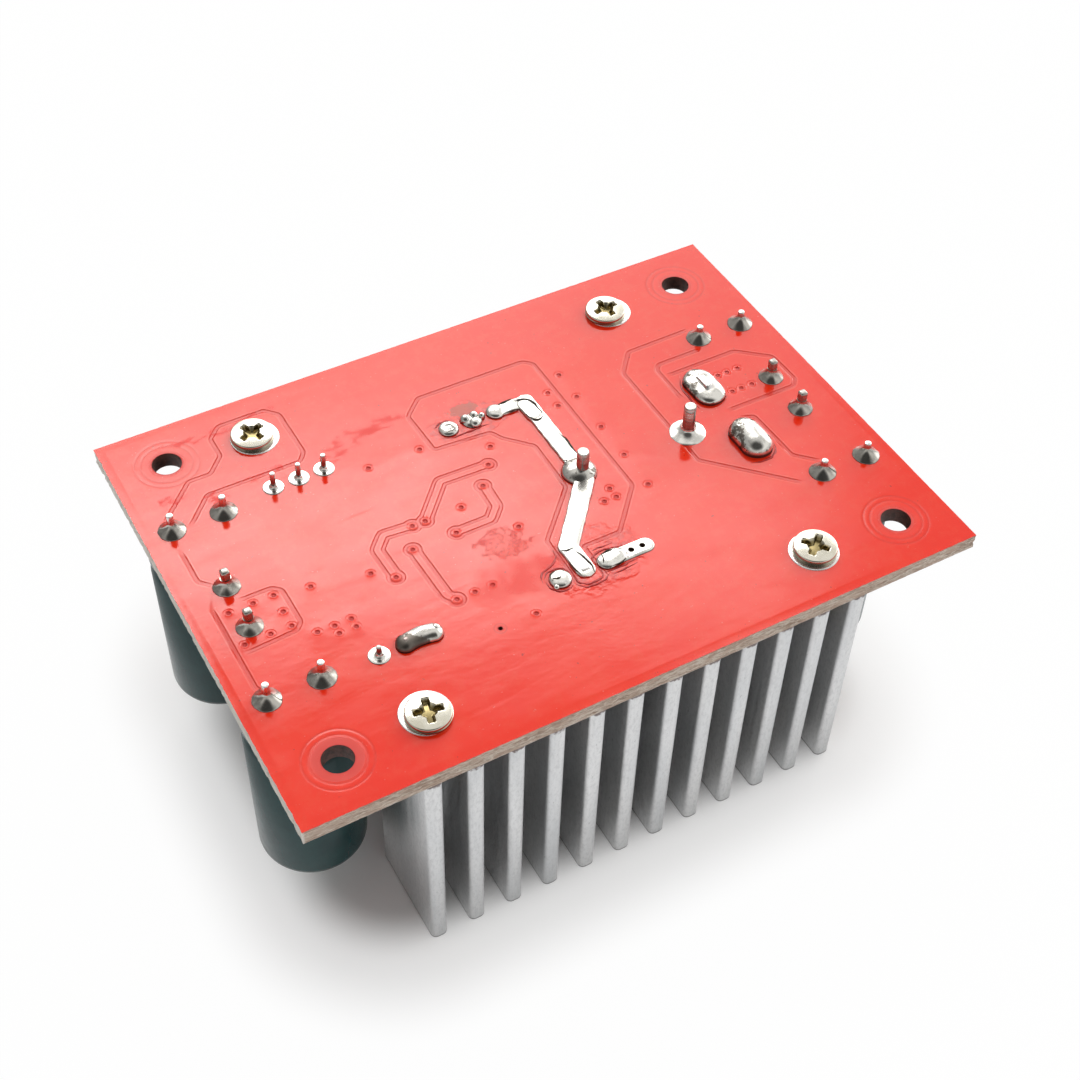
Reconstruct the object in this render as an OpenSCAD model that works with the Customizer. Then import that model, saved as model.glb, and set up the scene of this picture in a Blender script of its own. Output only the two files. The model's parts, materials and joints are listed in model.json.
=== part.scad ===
// Boost converter module, standing upside down on the fin ends of its heatsinks.
// X runs along the board from the output end to the input end, Y across it, Z up.
// The solder side of the board faces up, and everything else hangs below it.

/* [Board] */
// Length of the circuit board
board_l = 67; // [65.5:0.5:80]
// Width of the circuit board
board_w = 48; // [46:0.5:60]
// Thickness of the circuit board
board_t = 1.6; // [1.2:0.1:2.4]
// Distance from the short edge to the face of a terminal block
board_end = 2.25; // [1:0.05:4]
// Distance from the long edge to the fin tips
board_side = 0.45; // [0:0.05:2]
// Distance of a mounting hole from the short edge
mount_inset_x = 5.4; // [4:0.1:7]
// Distance of a mounting hole from the long edge
mount_inset_y = 5; // [4:0.1:6]
// Diameter of a mounting hole
mount_d = 2.8; // [2.2:0.1:3.4]
// Room around a lead in its hole
lead_play = 0.12; // [0.05:0.01:0.25]

/* [Heatsinks] */
// Height of a heatsink, from the board to the end it stands on
heatsink_h = 25; // [24:0.5:32]
// Depth of a heatsink, from its flat face to the fin tips
heatsink_depth = 10.1; // [9:0.1:11.2]
// Thickness of the back plate that carries the fins
heatsink_base = 3; // [2:0.1:4]
// Number of fins on a heatsink
fin_count = 12; // [8:1:13]
// Thickness of a fin
fin_t = 1.6; // [1.2:0.05:2]
// Rounding of the edges at a fin's tip
fin_tip_r = 0.25; // [0.1:0.05:0.7]
// Gap between a heatsink and the capacitors at its ends
heatsink_cap_gap = 1; // [0.7:0.05:2]
// Place of the heatsinks along the board
heatsink_x = -0.2; // [-0.5:0.1:0.5]

/* [Screws] */
// Diameter of the screws that hold the heatsinks
clip_screw_d = 2.6; // [2.2:0.1:3]
// Length of these screws under the head
clip_screw_l = 8; // [6:0.5:12]
// Diameter of their heads
clip_head_d = 4.1; // [3.8:0.1:5]
// Height of their heads
clip_head_h = 0.85; // [0.7:0.05:1.8]
// Distance of these screws from the heatsink's back plate
clip_reach = 2.1; // [1.7:0.1:3]
// Diameter of the screws that hold the power devices
device_screw_d = 3; // [2.5:0.1:3.4]
// Diameter of their heads
device_head_d = 5.5; // [4.8:0.1:6]
// Height of their heads
device_head_h = 2; // [1.6:0.1:2.4]
// Length of screw that shows behind the back plate
device_screw_tail = 1.2; // [0.5:0.1:2]
// Radial room of a screw in the hole that it has cut
thread_play = 0.02; // [0.01:0.01:0.05]

/* [Power devices] */
// Width of a power device
device_w = 10; // [9:0.1:11]
// Thickness of a power device, tab included
device_t = 4.5; // [4:0.1:5]
// Height of the moulded body
device_body_h = 9.2; // [8:0.1:10]
// Distance between the moulded body and the board
device_gap = 3.5; // [2.5:0.1:5]
// Thickness of the metal tab
tab_t = 1.3; // [1:0.05:1.5]
// Length of tab beyond the moulded body
tab_reach = 6.2; // [5.8:0.1:7]
// Distance of the screw hole from the tab's end
tab_hole_end = 2.8; // [2.5:0.1:3]
// Diameter of the screw hole in the tab
tab_hole_d = 3.7; // [3.5:0.05:4]
// Distance from the tab's back to the middle of the leads
device_setback = 2.65; // [2.2:0.05:3]
// Distance between leads
device_pitch = 2.54; // [2.3:0.02:2.8]
// Width of a lead
device_lead_w = 0.8; // [0.6:0.05:1]
// Width of a lead at its shoulder, above the board
device_shoulder_w = 1.3; // [1.1:0.05:1.6]
// Thickness of a lead
device_lead_t = 0.5; // [0.4:0.05:0.6]
// Length of lead that stands out of the solder side
device_proud = 0.35; // [0.2:0.05:2]

/* [Inductor] */
// Outer diameter of the ring core
core_od = 20.2; // [18:0.1:21]
// Inner diameter of the ring core
core_id = 12.6; // [11.5:0.1:13.5]
// Thickness of the ring core
core_h = 10.3; // [9:0.1:11.5]
// Rounding of the core's edges
core_r = 0.7; // [0.3:0.05:1]
// Diameter of the wire
wire_d = 1.2; // [1:0.02:1.3]
// Number of turns
turns = 22; // [12:1:23]
// Angle at the top that is left free of turns
turn_gap = 26; // [22:1:60]
// Gap between the wire and the core
wire_play = 0.11; // [0.05:0.01:0.2]
// Gap between the winding and the power devices
coil_device_gap = 0.24; // [0.15:0.01:1]
// Gap between the winding and the board
coil_board_gap = 0.5; // [0.3:0.05:1]
// Place of the inductor across the board
coil_y = -0.25; // [-0.6:0.05:0.6]
// Length of the output-side lead that stands out of the solder side
coil_proud_a = 2.9; // [1.5:0.1:4]
// Length of the input-side lead that stands out of the solder side
coil_proud_b = 3.5; // [1.5:0.1:4]

/* [Fuse] */
// Width of the fuse
fuse_w = 11.6; // [11.3:0.1:13]
// Thickness of the fuse at its top bar
fuse_t = 3.6; // [3.4:0.1:4]
// Thickness of the fuse below its top bar
fuse_waist_t = 2.9; // [2.2:0.1:3.3]
// Height of the plastic body
fuse_h = 8.4; // [8:0.1:10]
// Height of the top bar
fuse_bar_h = 2.3; // [1.8:0.1:2.6]
// Distance between the plastic body and the board
fuse_gap = 4; // [2:0.1:6]
// Distance between the middles of the blades
blade_pitch = 8.2; // [7.8:0.05:8.4]
// Width of a blade
blade_w = 2.6; // [2.2:0.05:2.7]
// Thickness of a blade
blade_t = 0.75; // [0.6:0.05:0.9]
// Length of blade inside the plastic body
blade_inside = 5.6; // [4.5:0.1:5.8]
// Length of blade that stands out of the solder side
blade_proud = 1.15; // [0.8:0.05:1.3]
// Gap between the fuse and the inductor
fuse_coil_gap = 2.34; // [1:0.02:4]
// Place of the fuse across the board
fuse_y = 0.1; // [-0.4:0.1:0.4]

/* [Terminal blocks] */
// Distance between the poles
pole_pitch = 5.08; // [5:0.02:5.6]
// Height of a block
block_h = 10.8; // [10.6:0.1:14]
// Distance from the pins to the wire-entry face
block_front = 2.3; // [2.2:0.05:3]
// Distance from the pins to the back face
block_rear = 4.2; // [4:0.1:6]
// Thickness of the block's floor, on the board
block_floor = 0.6; // [0.5:0.05:0.8]
// Gap between a block and the fuse
block_fuse_gap = 0.85; // [0.5:0.05:2]
// Place of the output block across the board
output_block_y = -0.25; // [-0.4:0.05:0.4]
// Width of a wire entry
entry_w = 3; // [2.4:0.1:3.4]
// Thickness of the contact strip
strip_t = 0.6; // [0.5:0.05:0.7]
// Width of the contact strip
strip_w = 2.5; // [2:0.1:2.6]
// Width of a square pin
pin_w = 0.8; // [0.7:0.05:1]
// Length of pin that stands out of the solder side
pin_proud = 2.2; // [1.5:0.1:3]
// Length of a clamp along the wire
clamp_l = 3.4; // [3.2:0.05:3.45]
// Width of a clamp
clamp_w = 4.2; // [4:0.05:4.3]
// Thickness of a clamp's side walls
clamp_side = 0.65; // [0.5:0.05:0.7]
// Thickness of the clamp's wall under the wire
clamp_floor = 0.7; // [0.5:0.05:0.9]
// Thickness of the clamp's threaded wall
clamp_nut = 1.1; // [0.9:0.05:1.2]
// Height of the space for the wire with the clamp open
wire_room = 2.6; // [2.2:0.1:2.8]
// Travel of the clamp
clamp_travel = 2.1; // [1.5:0.05:2.15]
// Sliding room around a clamp
clamp_play = 0.1; // [0.05:0.01:0.12]
// Diameter of the clamp screw
clamp_screw_d = 2.4; // [2:0.05:2.5]
// Diameter of the clamp screw's head
clamp_head_d = 3.8; // [3.4:0.05:4]
// Height of the clamp screw's head
clamp_head_h = 1.6; // [1.2:0.05:1.8]
// Radial running room of the clamp screw
screw_play = 0.06; // [0.03:0.01:0.1]

/* [Capacitors] */
// Diameter of a capacitor with its sleeve
cap_d = 10; // [9:0.1:11]
// Length of a capacitor
cap_l = 20; // [16:0.5:23]
// Distance between its leads
cap_pitch = 5; // [4.5:0.1:5.5]
// Diameter of its leads
cap_lead_d = 0.66; // [0.5:0.02:0.8]
// Thickness of the sleeve
sleeve_t = 0.15; // [0.1:0.01:0.25]
// Width of sleeve shrunk over the closed end
sleeve_lip = 0.7; // [0.4:0.05:1.2]
// Rounding of the can's closed end
can_end_r = 1; // [0.6:0.05:1.4]
// Depth of the bead rolled into the can
bead_depth = 0.5; // [0.3:0.05:0.7]
// Distance of the bead from the board
bead_h = 2.7; // [2.5:0.1:3.5]
// Depth of the rubber seal
seal_t = 1.7; // [1.2:0.1:2]
// Width of the can's rim curled over the seal
rim_w = 0.9; // [0.6:0.05:1.2]
// Distance from the short edge to a capacitor
cap_end = 0.25; // [0:0.05:1]
// Gap between a capacitor and the terminal block
cap_block_gap = 0.7; // [0.5:0.05:2]
// Length of output-side lead that stands out of the solder side
output_cap_proud = 2.1; // [1.6:0.1:3]
// Length of input-side lead that stands out of the solder side
input_cap_proud = 1.6; // [1.5:0.1:3]

/* [Trimmers] */
// Length of a trimmer
trimmer_l = 9.53; // [8.5:0.01:10.5]
// Width of a trimmer
trimmer_w = 4.83; // [4.2:0.01:5.4]
// Height of a trimmer
trimmer_h = 10.03; // [8.5:0.01:12]
// Height of the feet that it stands on
trimmer_foot = 0.4; // [0.2:0.05:0.8]
// Distance of its pins from the side facing the heatsink
trimmer_setback = 1.8; // [1.6:0.05:2.6]
// Distance between its pins
trimmer_pitch = 2.54; // [2.3:0.02:2.8]
// Diameter of its pins
trimmer_pin_d = 0.5; // [0.4:0.02:0.6]
// Length of pin that stands out of the solder side
trimmer_proud = 1.9; // [1.2:0.1:2.6]
// Length of the front trimmer's first pin that stands out of the solder side
front_pin_proud = 1.2; // [0.8:0.1:2.6]
// Height of the solder that joins the front trimmer's other two pins, which are cut level with it
bean_h = 0.8; // [0.5:0.05:1.2]
// Gap between a trimmer and the capacitor beside it
trimmer_cap_gap = 0.5; // [0.3:0.05:1.5]
// Gap between the rear trimmer and its heatsink
rear_trimmer_gap = 0.1; // [0.05:0.05:1]
// Gap between the front trimmer and its heatsink
front_trimmer_gap = 0.7; // [0.05:0.05:1]
// Diameter of the adjusting screw's head
adjust_d = 2.2; // [1.8:0.05:2.4]
// Height of its head above the trimmer
adjust_proud = 0.9; // [0.5:0.05:1.5]
// Depth of its head below the trimmer's face
adjust_sunk = 1; // [0.6:0.05:1.4]
// Diameter of its shank
adjust_shank_d = 1.5; // [1.2:0.05:1.7]
// Length of its shank
adjust_shank_l = 5; // [3:0.1:6]
// Distance of the adjusting screw from the trimmer's sides
adjust_inset = 1.6; // [1.4:0.05:2.2]

/* [Control circuit] */
// Distance from the power devices to the middle of the chips
chip_from_device = 4.5; // [4:0.1:6]
// Distance of a chip's middle from the board's middle line
chip_y = 3.7; // [3.4:0.1:4.2]
// Length of a chip's moulded body
chip_l = 4.9; // [4.2:0.05:5.2]
// Width of a chip's moulded body
chip_w = 3.9; // [3.5:0.05:4.2]
// Thickness of a chip
chip_t = 1.6; // [1.3:0.05:1.8]
// Distance between the tips of a chip's leads
chip_span = 6; // [5.6:0.05:6.4]
// Distance between leads
chip_pitch = 1.27; // [1.1:0.01:1.27]
// Length of a chip resistor or capacitor
chip_part_l = 2; // [1.6:0.05:2.2]
// Width of a chip resistor or capacitor
chip_part_w = 1.25; // [0.8:0.05:1.4]
// Thickness of a chip resistor
chip_resistor_t = 0.55; // [0.4:0.05:0.8]
// Thickness of a chip capacitor
chip_capacitor_t = 1.1; // [0.8:0.05:1.4]
// Distance between neighbours in a row of chip parts
chip_part_step = 2.4; // [2.3:0.1:2.8]
// Gap between the chips and the rows of chip resistors
chip_row_gap = 0.25; // [0.15:0.05:0.4]
// Gap between the rows of chip resistors and the power devices
chip_row_device_gap = 0.6; // [0.4:0.1:1]
// Length of the shunt resistor
shunt_l = 6.4; // [5:0.1:7]
// Width of the shunt resistor
shunt_w = 3.2; // [2.5:0.1:3.6]
// Thickness of the shunt resistor
shunt_t = 0.7; // [0.5:0.05:1]
// Gap between the shunt resistor and the output block
shunt_gap = 1.4; // [0.8:0.1:1.8]

/* [Solder] */
// Radial room between solder and lead
joint_play = 0.02; // [0.01:0.01:0.05]
// Radius of a capacitor's joint
cap_joint_r = 1.3; // [1:0.05:1.6]
// Radius of a terminal pin's joint
pin_joint_r = 1.25; // [1:0.05:1.6]
// Radius of a trimmer pin's joint
trimmer_joint_r = 1; // [0.7:0.05:1.1]
// Radius of a power device's joint
device_joint_r = 1.1; // [0.9:0.05:1.2]
// Radius of the inductor's joints
coil_joint_r = 1.8; // [1.2:0.05:2]
// Width of the fuse's joints
blade_joint_w = 3.3; // [2.4:0.1:3.6]
// Length of the fuse's joints
blade_joint_l = 5.2; // [4.4:0.1:5.6]
// Thickness of solder on the bare strips
strip_solder_t = 0.25; // [0.15:0.05:0.6]
// Width of the bare strip of the switch node
switch_strip_w = 1.9; // [1.4:0.1:2.1]
// Width of the bare strip at the transistor's source
source_strip_w = 2; // [1.6:0.1:2.2]
// Length of that strip
source_strip_l = 5.6; // [4.4:0.1:6.4]
// Diameter of the two open holes near that strip's end
spare_hole_d = 0.6; // [0.4:0.05:0.8]
// Distance of these holes from each other and from the strip's end
spare_pitch = 1.17; // [1:0.01:1.3]

/* [Hidden] */
$fn = 48;
under = heatsink_h;
top = heatsink_h + board_t;
eps = 0.01;

// A row of parts starts at the input end: terminal block, fuse, inductor, power devices.
wire_r = wire_d / 2;
winding_t = core_h + 2 * (wire_play + wire_d);
winding_od = core_od + 2 * (wire_play + wire_d);
coil_lead_spacing = winding_t - wire_d;
input_pin_x = board_l / 2 - board_end - block_front;
output_pin_x = -input_pin_x;
fuse_x = input_pin_x - block_rear - block_fuse_gap - fuse_t / 2;
coil_x = fuse_x - fuse_t / 2 - fuse_coil_gap - winding_t / 2;
coil_z = under - coil_board_gap - winding_od / 2;
device_x = coil_x - winding_t / 2 - coil_device_gap - device_w / 2;

// The heatsinks stand at the long edges, with their flat faces towards the middle.
face_y = board_w / 2 - board_side - heatsink_depth;
mount_x = board_l / 2 - mount_inset_x;
mount_y = board_w / 2 - mount_inset_y;

// Capacitors stand in the corners, beside the terminal blocks.
cap_x = board_l / 2 - cap_end - cap_d / 2;
cap_y = pole_pitch + cap_block_gap + cap_d / 2;

// The heatsinks fill the length between the capacitors.
heatsink_l = 2 * (cap_x - cap_d / 2 - heatsink_cap_gap);
fin_pitch = (heatsink_l - fin_t) / (fin_count - 1);
clip_x = (fin_count - 2) / 2 * fin_pitch;
clip_y = heatsink_base + clip_reach;
device_pin_y = face_y - device_setback;
device_hole_h = device_gap + device_body_h + tab_reach - tab_hole_end;
source_pin = [device_x + device_pitch, -device_pin_y];
spare_holes = [for (i = [1, 2]) source_pin + [source_strip_l - source_strip_w / 2 - i * spare_pitch, 0]];

trimmer_x = -cap_x + cap_d / 2 + trimmer_cap_gap + trimmer_l / 2;
rear_prouds = [trimmer_proud, trimmer_proud, trimmer_proud];
front_prouds = [front_pin_proud, bean_h, bean_h];
rear_trimmer_y = face_y - rear_trimmer_gap;
front_trimmer_y = face_y - front_trimmer_gap;

chip_x = device_x - device_w / 2 - chip_from_device;
shunt_x = output_pin_x + block_rear + shunt_gap + shunt_w / 2;

// Levels inside a terminal block, counted from the board.
clamp_rest = block_floor + strip_t + 0.15;
strip_level = clamp_rest + clamp_floor + wire_room;
nut_level = strip_level + strip_t + 0.15;
screw_tip = strip_level + strip_t + 0.1;
head_level = nut_level + clamp_nut + clamp_travel + 0.15;
cavity_top = head_level - 0.05;
strip_back = clamp_l / 2 + 0.6;
cavity_back = strip_back + strip_t + clamp_play;

// Points of an arc in a plane outline
function arc(cx, cy, r, from, to, steps) =
  [for (i = [0:steps]) let(a = from + (to - from) * i / steps) [cx + r * cos(a), cy + r * sin(a)]];

// Outline of a bar with round ends, centred on the origin and lying along X
function bar_outline(length, width) =
  let(half = (length - width) / 2)
  concat(arc(half, 0, width / 2, -90, 90, 10), arc(-half, 0, width / 2, 90, 270, 10));

// Below the board, heights count downwards from its underside.
module hang() {
  translate([0, 0, under])
    mirror([0, 0, 1])
      children();
}

// On a heatsink's flat face, with Y pointing into the heatsink; side is 1 at the rear, -1 in front
module at_face(x, side) {
  translate([x, side * face_y, 0])
    mirror([0, side < 0 ? 1 : 0, 0])
      children();
}

module at_capacitor(end, side) {
  hang()
    translate([end * cap_x, side * cap_y, 0])
      children();
}

// At a terminal block, with X pointing away from the wire-entry face
module at_output_block() {
  hang()
    translate([output_pin_x, output_block_y, 0])
      children();
}

module at_input_block() {
  hang()
    translate([input_pin_x, 0, 0])
      mirror([1, 0, 0])
        children();
}

module at_pole(side) {
  translate([0, side * pole_pitch / 2, 0])
    children();
}

// At a trimmer, with Y pointing from the side facing the heatsink towards the middle of the board
module at_rear_trimmer() {
  hang()
    translate([trimmer_x, rear_trimmer_y, 0])
      mirror([0, 1, 0])
        children();
}

module at_front_trimmer() {
  hang()
    translate([trimmer_x, -front_trimmer_y, 0])
      children();
}

module at_inductor() {
  translate([coil_x, coil_y, coil_z])
    children();
}

// A straight hole through the board
module drill(x, y, r) {
  translate([x, y, under - eps])
    cylinder(h = board_t + 2 * eps, r = r);
}

module circuit_board() {
  color("red")
    difference() {
      translate([-board_l / 2, -board_w / 2, under])
        cube([board_l, board_w, board_t]);
      for (x = [-mount_x, mount_x], y = [-mount_y, mount_y])
        drill(x, y, mount_d / 2);
      for (x = [-clip_x, clip_x], side = [-1, 1])
        drill(heatsink_x + x, side * (face_y + clip_y), clip_screw_d / 2 + lead_play);
      for (end = [-1, 1], side = [-1, 1], lead = [-1, 1])
        drill(end * cap_x + lead * cap_pitch / 2, side * cap_y, cap_lead_d / 2 + lead_play);
      for (pole = [-1, 1]) {
        drill(output_pin_x, output_block_y + pole * pole_pitch / 2, pin_w / sqrt(2) + lead_play);
        drill(input_pin_x, pole * pole_pitch / 2, pin_w / sqrt(2) + lead_play);
      }
      for (lead = [-1:1]) {
        for (side = [-1, 1])
          drill(device_x + lead * device_pitch, side * device_pin_y, device_lead_w / 2 + lead_play);
        drill(trimmer_x + lead * trimmer_pitch, rear_trimmer_y - trimmer_setback,
              trimmer_pin_d / 2 + lead_play);
        drill(trimmer_x + lead * trimmer_pitch, -front_trimmer_y + trimmer_setback,
              trimmer_pin_d / 2 + lead_play);
      }
      for (lead = [-1, 1])
        drill(coil_x + lead * coil_lead_spacing / 2, coil_y, wire_r + lead_play);
      for (hole = spare_holes)
        drill(hole[0], hole[1], spare_hole_d / 2);
      for (blade = [-1, 1])
        translate([fuse_x - blade_t / 2 - lead_play,
                   fuse_y + blade * blade_pitch / 2 - blade_w / 2 - lead_play, under - eps])
          cube([blade_t + 2 * lead_play, blade_w + 2 * lead_play, board_t + 2 * eps]);
    }
}

// Comb outline of the heatsink: flat face at y = 0, fins towards +y
function fin_middle(i) = -heatsink_l / 2 + fin_t / 2 + i * fin_pitch;
function fin_outline(i) =
  let(r = min(fin_tip_r, fin_t / 2 - eps), x = fin_middle(i))
  concat(
    i > 0 ? [[x - fin_t / 2, heatsink_base]] : [],
    arc(x - fin_t / 2 + r, heatsink_depth - r, r, 180, 90, 4),
    arc(x + fin_t / 2 - r, heatsink_depth - r, r, 90, 0, 4),
    i < fin_count - 1 ? [[x + fin_t / 2, heatsink_base]] : []);

module heatsink(side) {
  color("gainsboro")
    at_face(heatsink_x, side)
      difference() {
        linear_extrude(heatsink_h)
          polygon(concat(
            [[heatsink_l / 2, 0], [-heatsink_l / 2, 0]],
            [for (i = [0:fin_count - 1]) each fin_outline(i)]));
        for (x = [-clip_x, clip_x])
          translate([x, clip_y, under - clip_screw_l])
            cylinder(h = clip_screw_l + eps, r = clip_screw_d / 2 + thread_play);
        translate([device_x - heatsink_x, -eps, under - device_hole_h])
          rotate([-90, 0, 0])
            cylinder(h = heatsink_base + device_screw_tail + 2 * eps, r = device_screw_d / 2 + thread_play);
      }
}

// Pan head screw with a cross recess: the head stands on z = 0 and the shank runs down
module pan_screw(d, length, head_d, head_h) {
  edge = 0.18 * head_h;
  recess_w = 0.16 * head_d;
  recess_l = 0.62 * head_d;
  recess_depth = 0.6 * head_h;
  difference() {
    union() {
      rotate_extrude()
        polygon(concat(
          [[0, 0], [head_d / 2 - edge, 0], [head_d / 2, edge]],
          arc(head_d / 2 - edge, head_h - edge, edge, 0, 90, 3),
          [[0, head_h]]));
      translate([0, 0, -length])
        cylinder(h = length + eps, d = d);
    }
    for (turn = [0, 90])
      rotate(turn)
        translate([-recess_l / 2, -recess_w / 2, head_h - recess_depth])
          cube([recess_l, recess_w, head_h]);
    translate([0, 0, head_h - recess_depth])
      cylinder(h = recess_depth + eps, r1 = recess_w * 0.8, r2 = recess_w * 1.4);
  }
}

module heatsink_screws() {
  color("lightgoldenrodyellow")
    for (x = [-clip_x, clip_x], side = [-1, 1])
      translate([heatsink_x + x, side * (face_y + clip_y), top])
        rotate(35 * x * side)
          pan_screw(clip_screw_d, clip_screw_l, clip_head_d, clip_head_h);
}

// Moulded body of a power device, in front of its tab
module device_body(side) {
  draft = 0.35;
  low = device_gap;
  high = device_gap + device_body_h;
  color("dimgray")
    hang()
      at_face(device_x, side)
        rotate([90, 0, 90])
          linear_extrude(device_w, center = true)
            polygon([
              [-tab_t, low], [-tab_t, high],
              [-device_t + 2 * draft, high], [-device_t, high - 3 * draft],
              [-device_t, low + 2 * draft], [-device_t + draft, low]]);
}

module device_tab(side) {
  cut = 0.8;
  low = device_gap + cut;
  high = device_gap + device_body_h + tab_reach;
  color("silver")
    hang()
      at_face(device_x, side)
        difference() {
          rotate([90, 0, 0])
            linear_extrude(tab_t)
              polygon([
                [-device_w / 2, low], [device_w / 2, low],
                [device_w / 2, high - cut], [device_w / 2 - cut, high],
                [cut - device_w / 2, high], [-device_w / 2, high - cut]]);
          translate([0, eps, device_hole_h])
            rotate([90, 0, 0])
              cylinder(h = tab_t + 2 * eps, d = tab_hole_d);
        }
}

module device_leads(side) {
  shoulder = 0.7;
  tip = -(board_t + device_proud);
  color("silver")
    hang()
      at_face(device_x, side)
        for (lead = [-1:1])
          translate([lead * device_pitch, device_lead_t / 2 - device_setback, 0])
            rotate([90, 0, 0])
              linear_extrude(device_lead_t)
                polygon([
                  [-device_shoulder_w / 2, device_gap], [-device_shoulder_w / 2, 2 * shoulder],
                  [-device_lead_w / 2, shoulder], [-device_lead_w / 2, tip],
                  [device_lead_w / 2, tip], [device_lead_w / 2, shoulder],
                  [device_shoulder_w / 2, 2 * shoulder], [device_shoulder_w / 2, device_gap]]);
}

module device_screw(side) {
  color("silver")
    hang()
      at_face(device_x, side)
        translate([0, -tab_t, device_hole_h])
          rotate([90, 0, 0])
            pan_screw(device_screw_d, tab_t + heatsink_base + device_screw_tail, device_head_d, device_head_h);
}

// Skin of the capacitor's can from its curled rim to its closed end, moved outwards by grow
can_r = cap_d / 2 - sleeve_t - joint_play;
can_l = cap_l - sleeve_t - joint_play;
rim_level = sleeve_t + joint_play;
seal_r = can_r - rim_w;
function can_skin(grow) =
  let(bend = 0.3, bead_w = 0.45)
  concat(
    [[seal_r, rim_level - grow]],
    arc(can_r - bend, rim_level + bend, bend + grow, -90, 0, 3),
    [[can_r + grow, bead_h - 2 * bead_w], [can_r - bead_depth + grow, bead_h - bead_w / 2],
     [can_r - bead_depth + grow, bead_h + bead_w / 2], [can_r + grow, bead_h + 2 * bead_w]],
    arc(can_r - can_end_r, can_l - can_end_r, can_end_r + grow, 0, 90, 5),
    [[can_r - can_end_r - sleeve_lip, can_l + grow]]);
function turned_back(points) = [for (i = [len(points) - 1:-1:0]) points[i]];

module capacitor_can(end, side) {
  score_w = 0.3;
  score_depth = 0.15;
  color("gainsboro")
    at_capacitor(end, side)
      difference() {
        rotate_extrude()
          polygon(concat(
            [[0, rim_level + seal_t], [seal_r, rim_level + seal_t]],
            can_skin(0),
            [[0, can_l]]));
        for (turn = [0, 90])
          rotate(turn)
            translate([-seal_r, -score_w / 2, can_l - score_depth])
              cube([2 * seal_r, score_w, 1]);
      }
}

module capacitor_sleeve(end, side) {
  color("darkslategray")
    at_capacitor(end, side)
      rotate_extrude()
        polygon(concat(
          can_skin(joint_play + sleeve_t),
          turned_back(can_skin(joint_play))));
}

module capacitor_seal(end, side) {
  color("black")
    at_capacitor(end, side)
      difference() {
        cylinder(h = rim_level + seal_t, r = seal_r - joint_play);
        for (lead = [-1, 1])
          translate([lead * cap_pitch / 2, 0, -eps])
            cylinder(h = seal_t / 2 + eps, r = cap_lead_d / 2 + joint_play);
      }
}

module capacitor_leads(end, side) {
  proud = end < 0 ? output_cap_proud : input_cap_proud;
  color("silver")
    at_capacitor(end, side)
      for (lead = [-1, 1])
        translate([lead * cap_pitch / 2, 0, -(board_t + proud)])
          cylinder(h = seal_t / 2 + board_t + proud, d = cap_lead_d);
}

// Housing of a terminal block with its two cells, wire entries and screw shafts
module block_housing() {
  groove = 0.35;
  step_x = block_rear - 0.9;
  step_low = block_h - 3.2;
  step_high = block_h - 2.4;
  color("green")
    difference() {
      translate([0, pole_pitch, 0])
        rotate([90, 0, 0])
          linear_extrude(2 * pole_pitch)
            polygon([
              [-block_front, 0], [block_rear, 0], [block_rear, step_low],
              [step_x, step_high], [step_x, block_h], [-block_front, block_h]]);
      for (pole = [-1, 1])
        at_pole(pole)
          block_cell();
      translate([-block_front - eps, -groove / 2, block_h - groove])
        cube([block_front + block_rear, groove, 1]);
    }
}

module block_cell() {
  half_w = clamp_w / 2 + clamp_play;
  front = clamp_l / 2 + clamp_play;
  translate([-front, -half_w, block_floor])
    cube([front + cavity_back, 2 * half_w, cavity_top - block_floor]);
  translate([0, 0, cavity_top - eps])
    cylinder(h = block_h, r = clamp_head_d / 2 + screw_play);
  translate([-block_front - eps, -entry_w / 2, clamp_rest + clamp_floor])
    cube([block_front, entry_w, wire_room]);
  translate([-pin_w / 2 - lead_play, -pin_w / 2 - lead_play, -eps])
    cube([pin_w + 2 * lead_play, pin_w + 2 * lead_play, block_floor + 2 * eps]);
}

// Contact strip folded around behind the clamp, with its pin through the board
module block_contacts() {
  reach = clamp_l / 2 - 0.1;
  color("silver")
    for (pole = [-1, 1])
      at_pole(pole) {
        translate([0, strip_w / 2, 0])
          rotate([90, 0, 0])
            linear_extrude(strip_w)
              polygon([
                [-pin_w / 2, block_floor], [strip_back + strip_t, block_floor],
                [strip_back + strip_t, strip_level + strip_t], [-reach, strip_level + strip_t],
                [-reach, strip_level], [strip_back, strip_level],
                [strip_back, block_floor + strip_t], [-pin_w / 2, block_floor + strip_t]]);
        translate([-pin_w / 2, -pin_w / 2, -(board_t + pin_proud)])
          cube([pin_w, pin_w, board_t + pin_proud + block_floor + strip_t]);
      }
}

// Rising clamp: a square loop around the strip, threaded in the wall under the screw's head
module block_clamp(side) {
  height = nut_level + clamp_nut - clamp_rest;
  color("gold")
    at_pole(side)
      translate([0, 0, clamp_rest])
        difference() {
          translate([-clamp_l / 2, -clamp_w / 2, 0])
            cube([clamp_l, clamp_w, height]);
          translate([-clamp_l / 2 - eps, clamp_side - clamp_w / 2, clamp_floor])
            cube([clamp_l + 2 * eps, clamp_w - 2 * clamp_side, height - clamp_floor - clamp_nut]);
          translate([0, 0, height - clamp_nut - eps])
            cylinder(h = clamp_nut + 2 * eps, r = clamp_screw_d / 2 + screw_play);
        }
}

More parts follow.
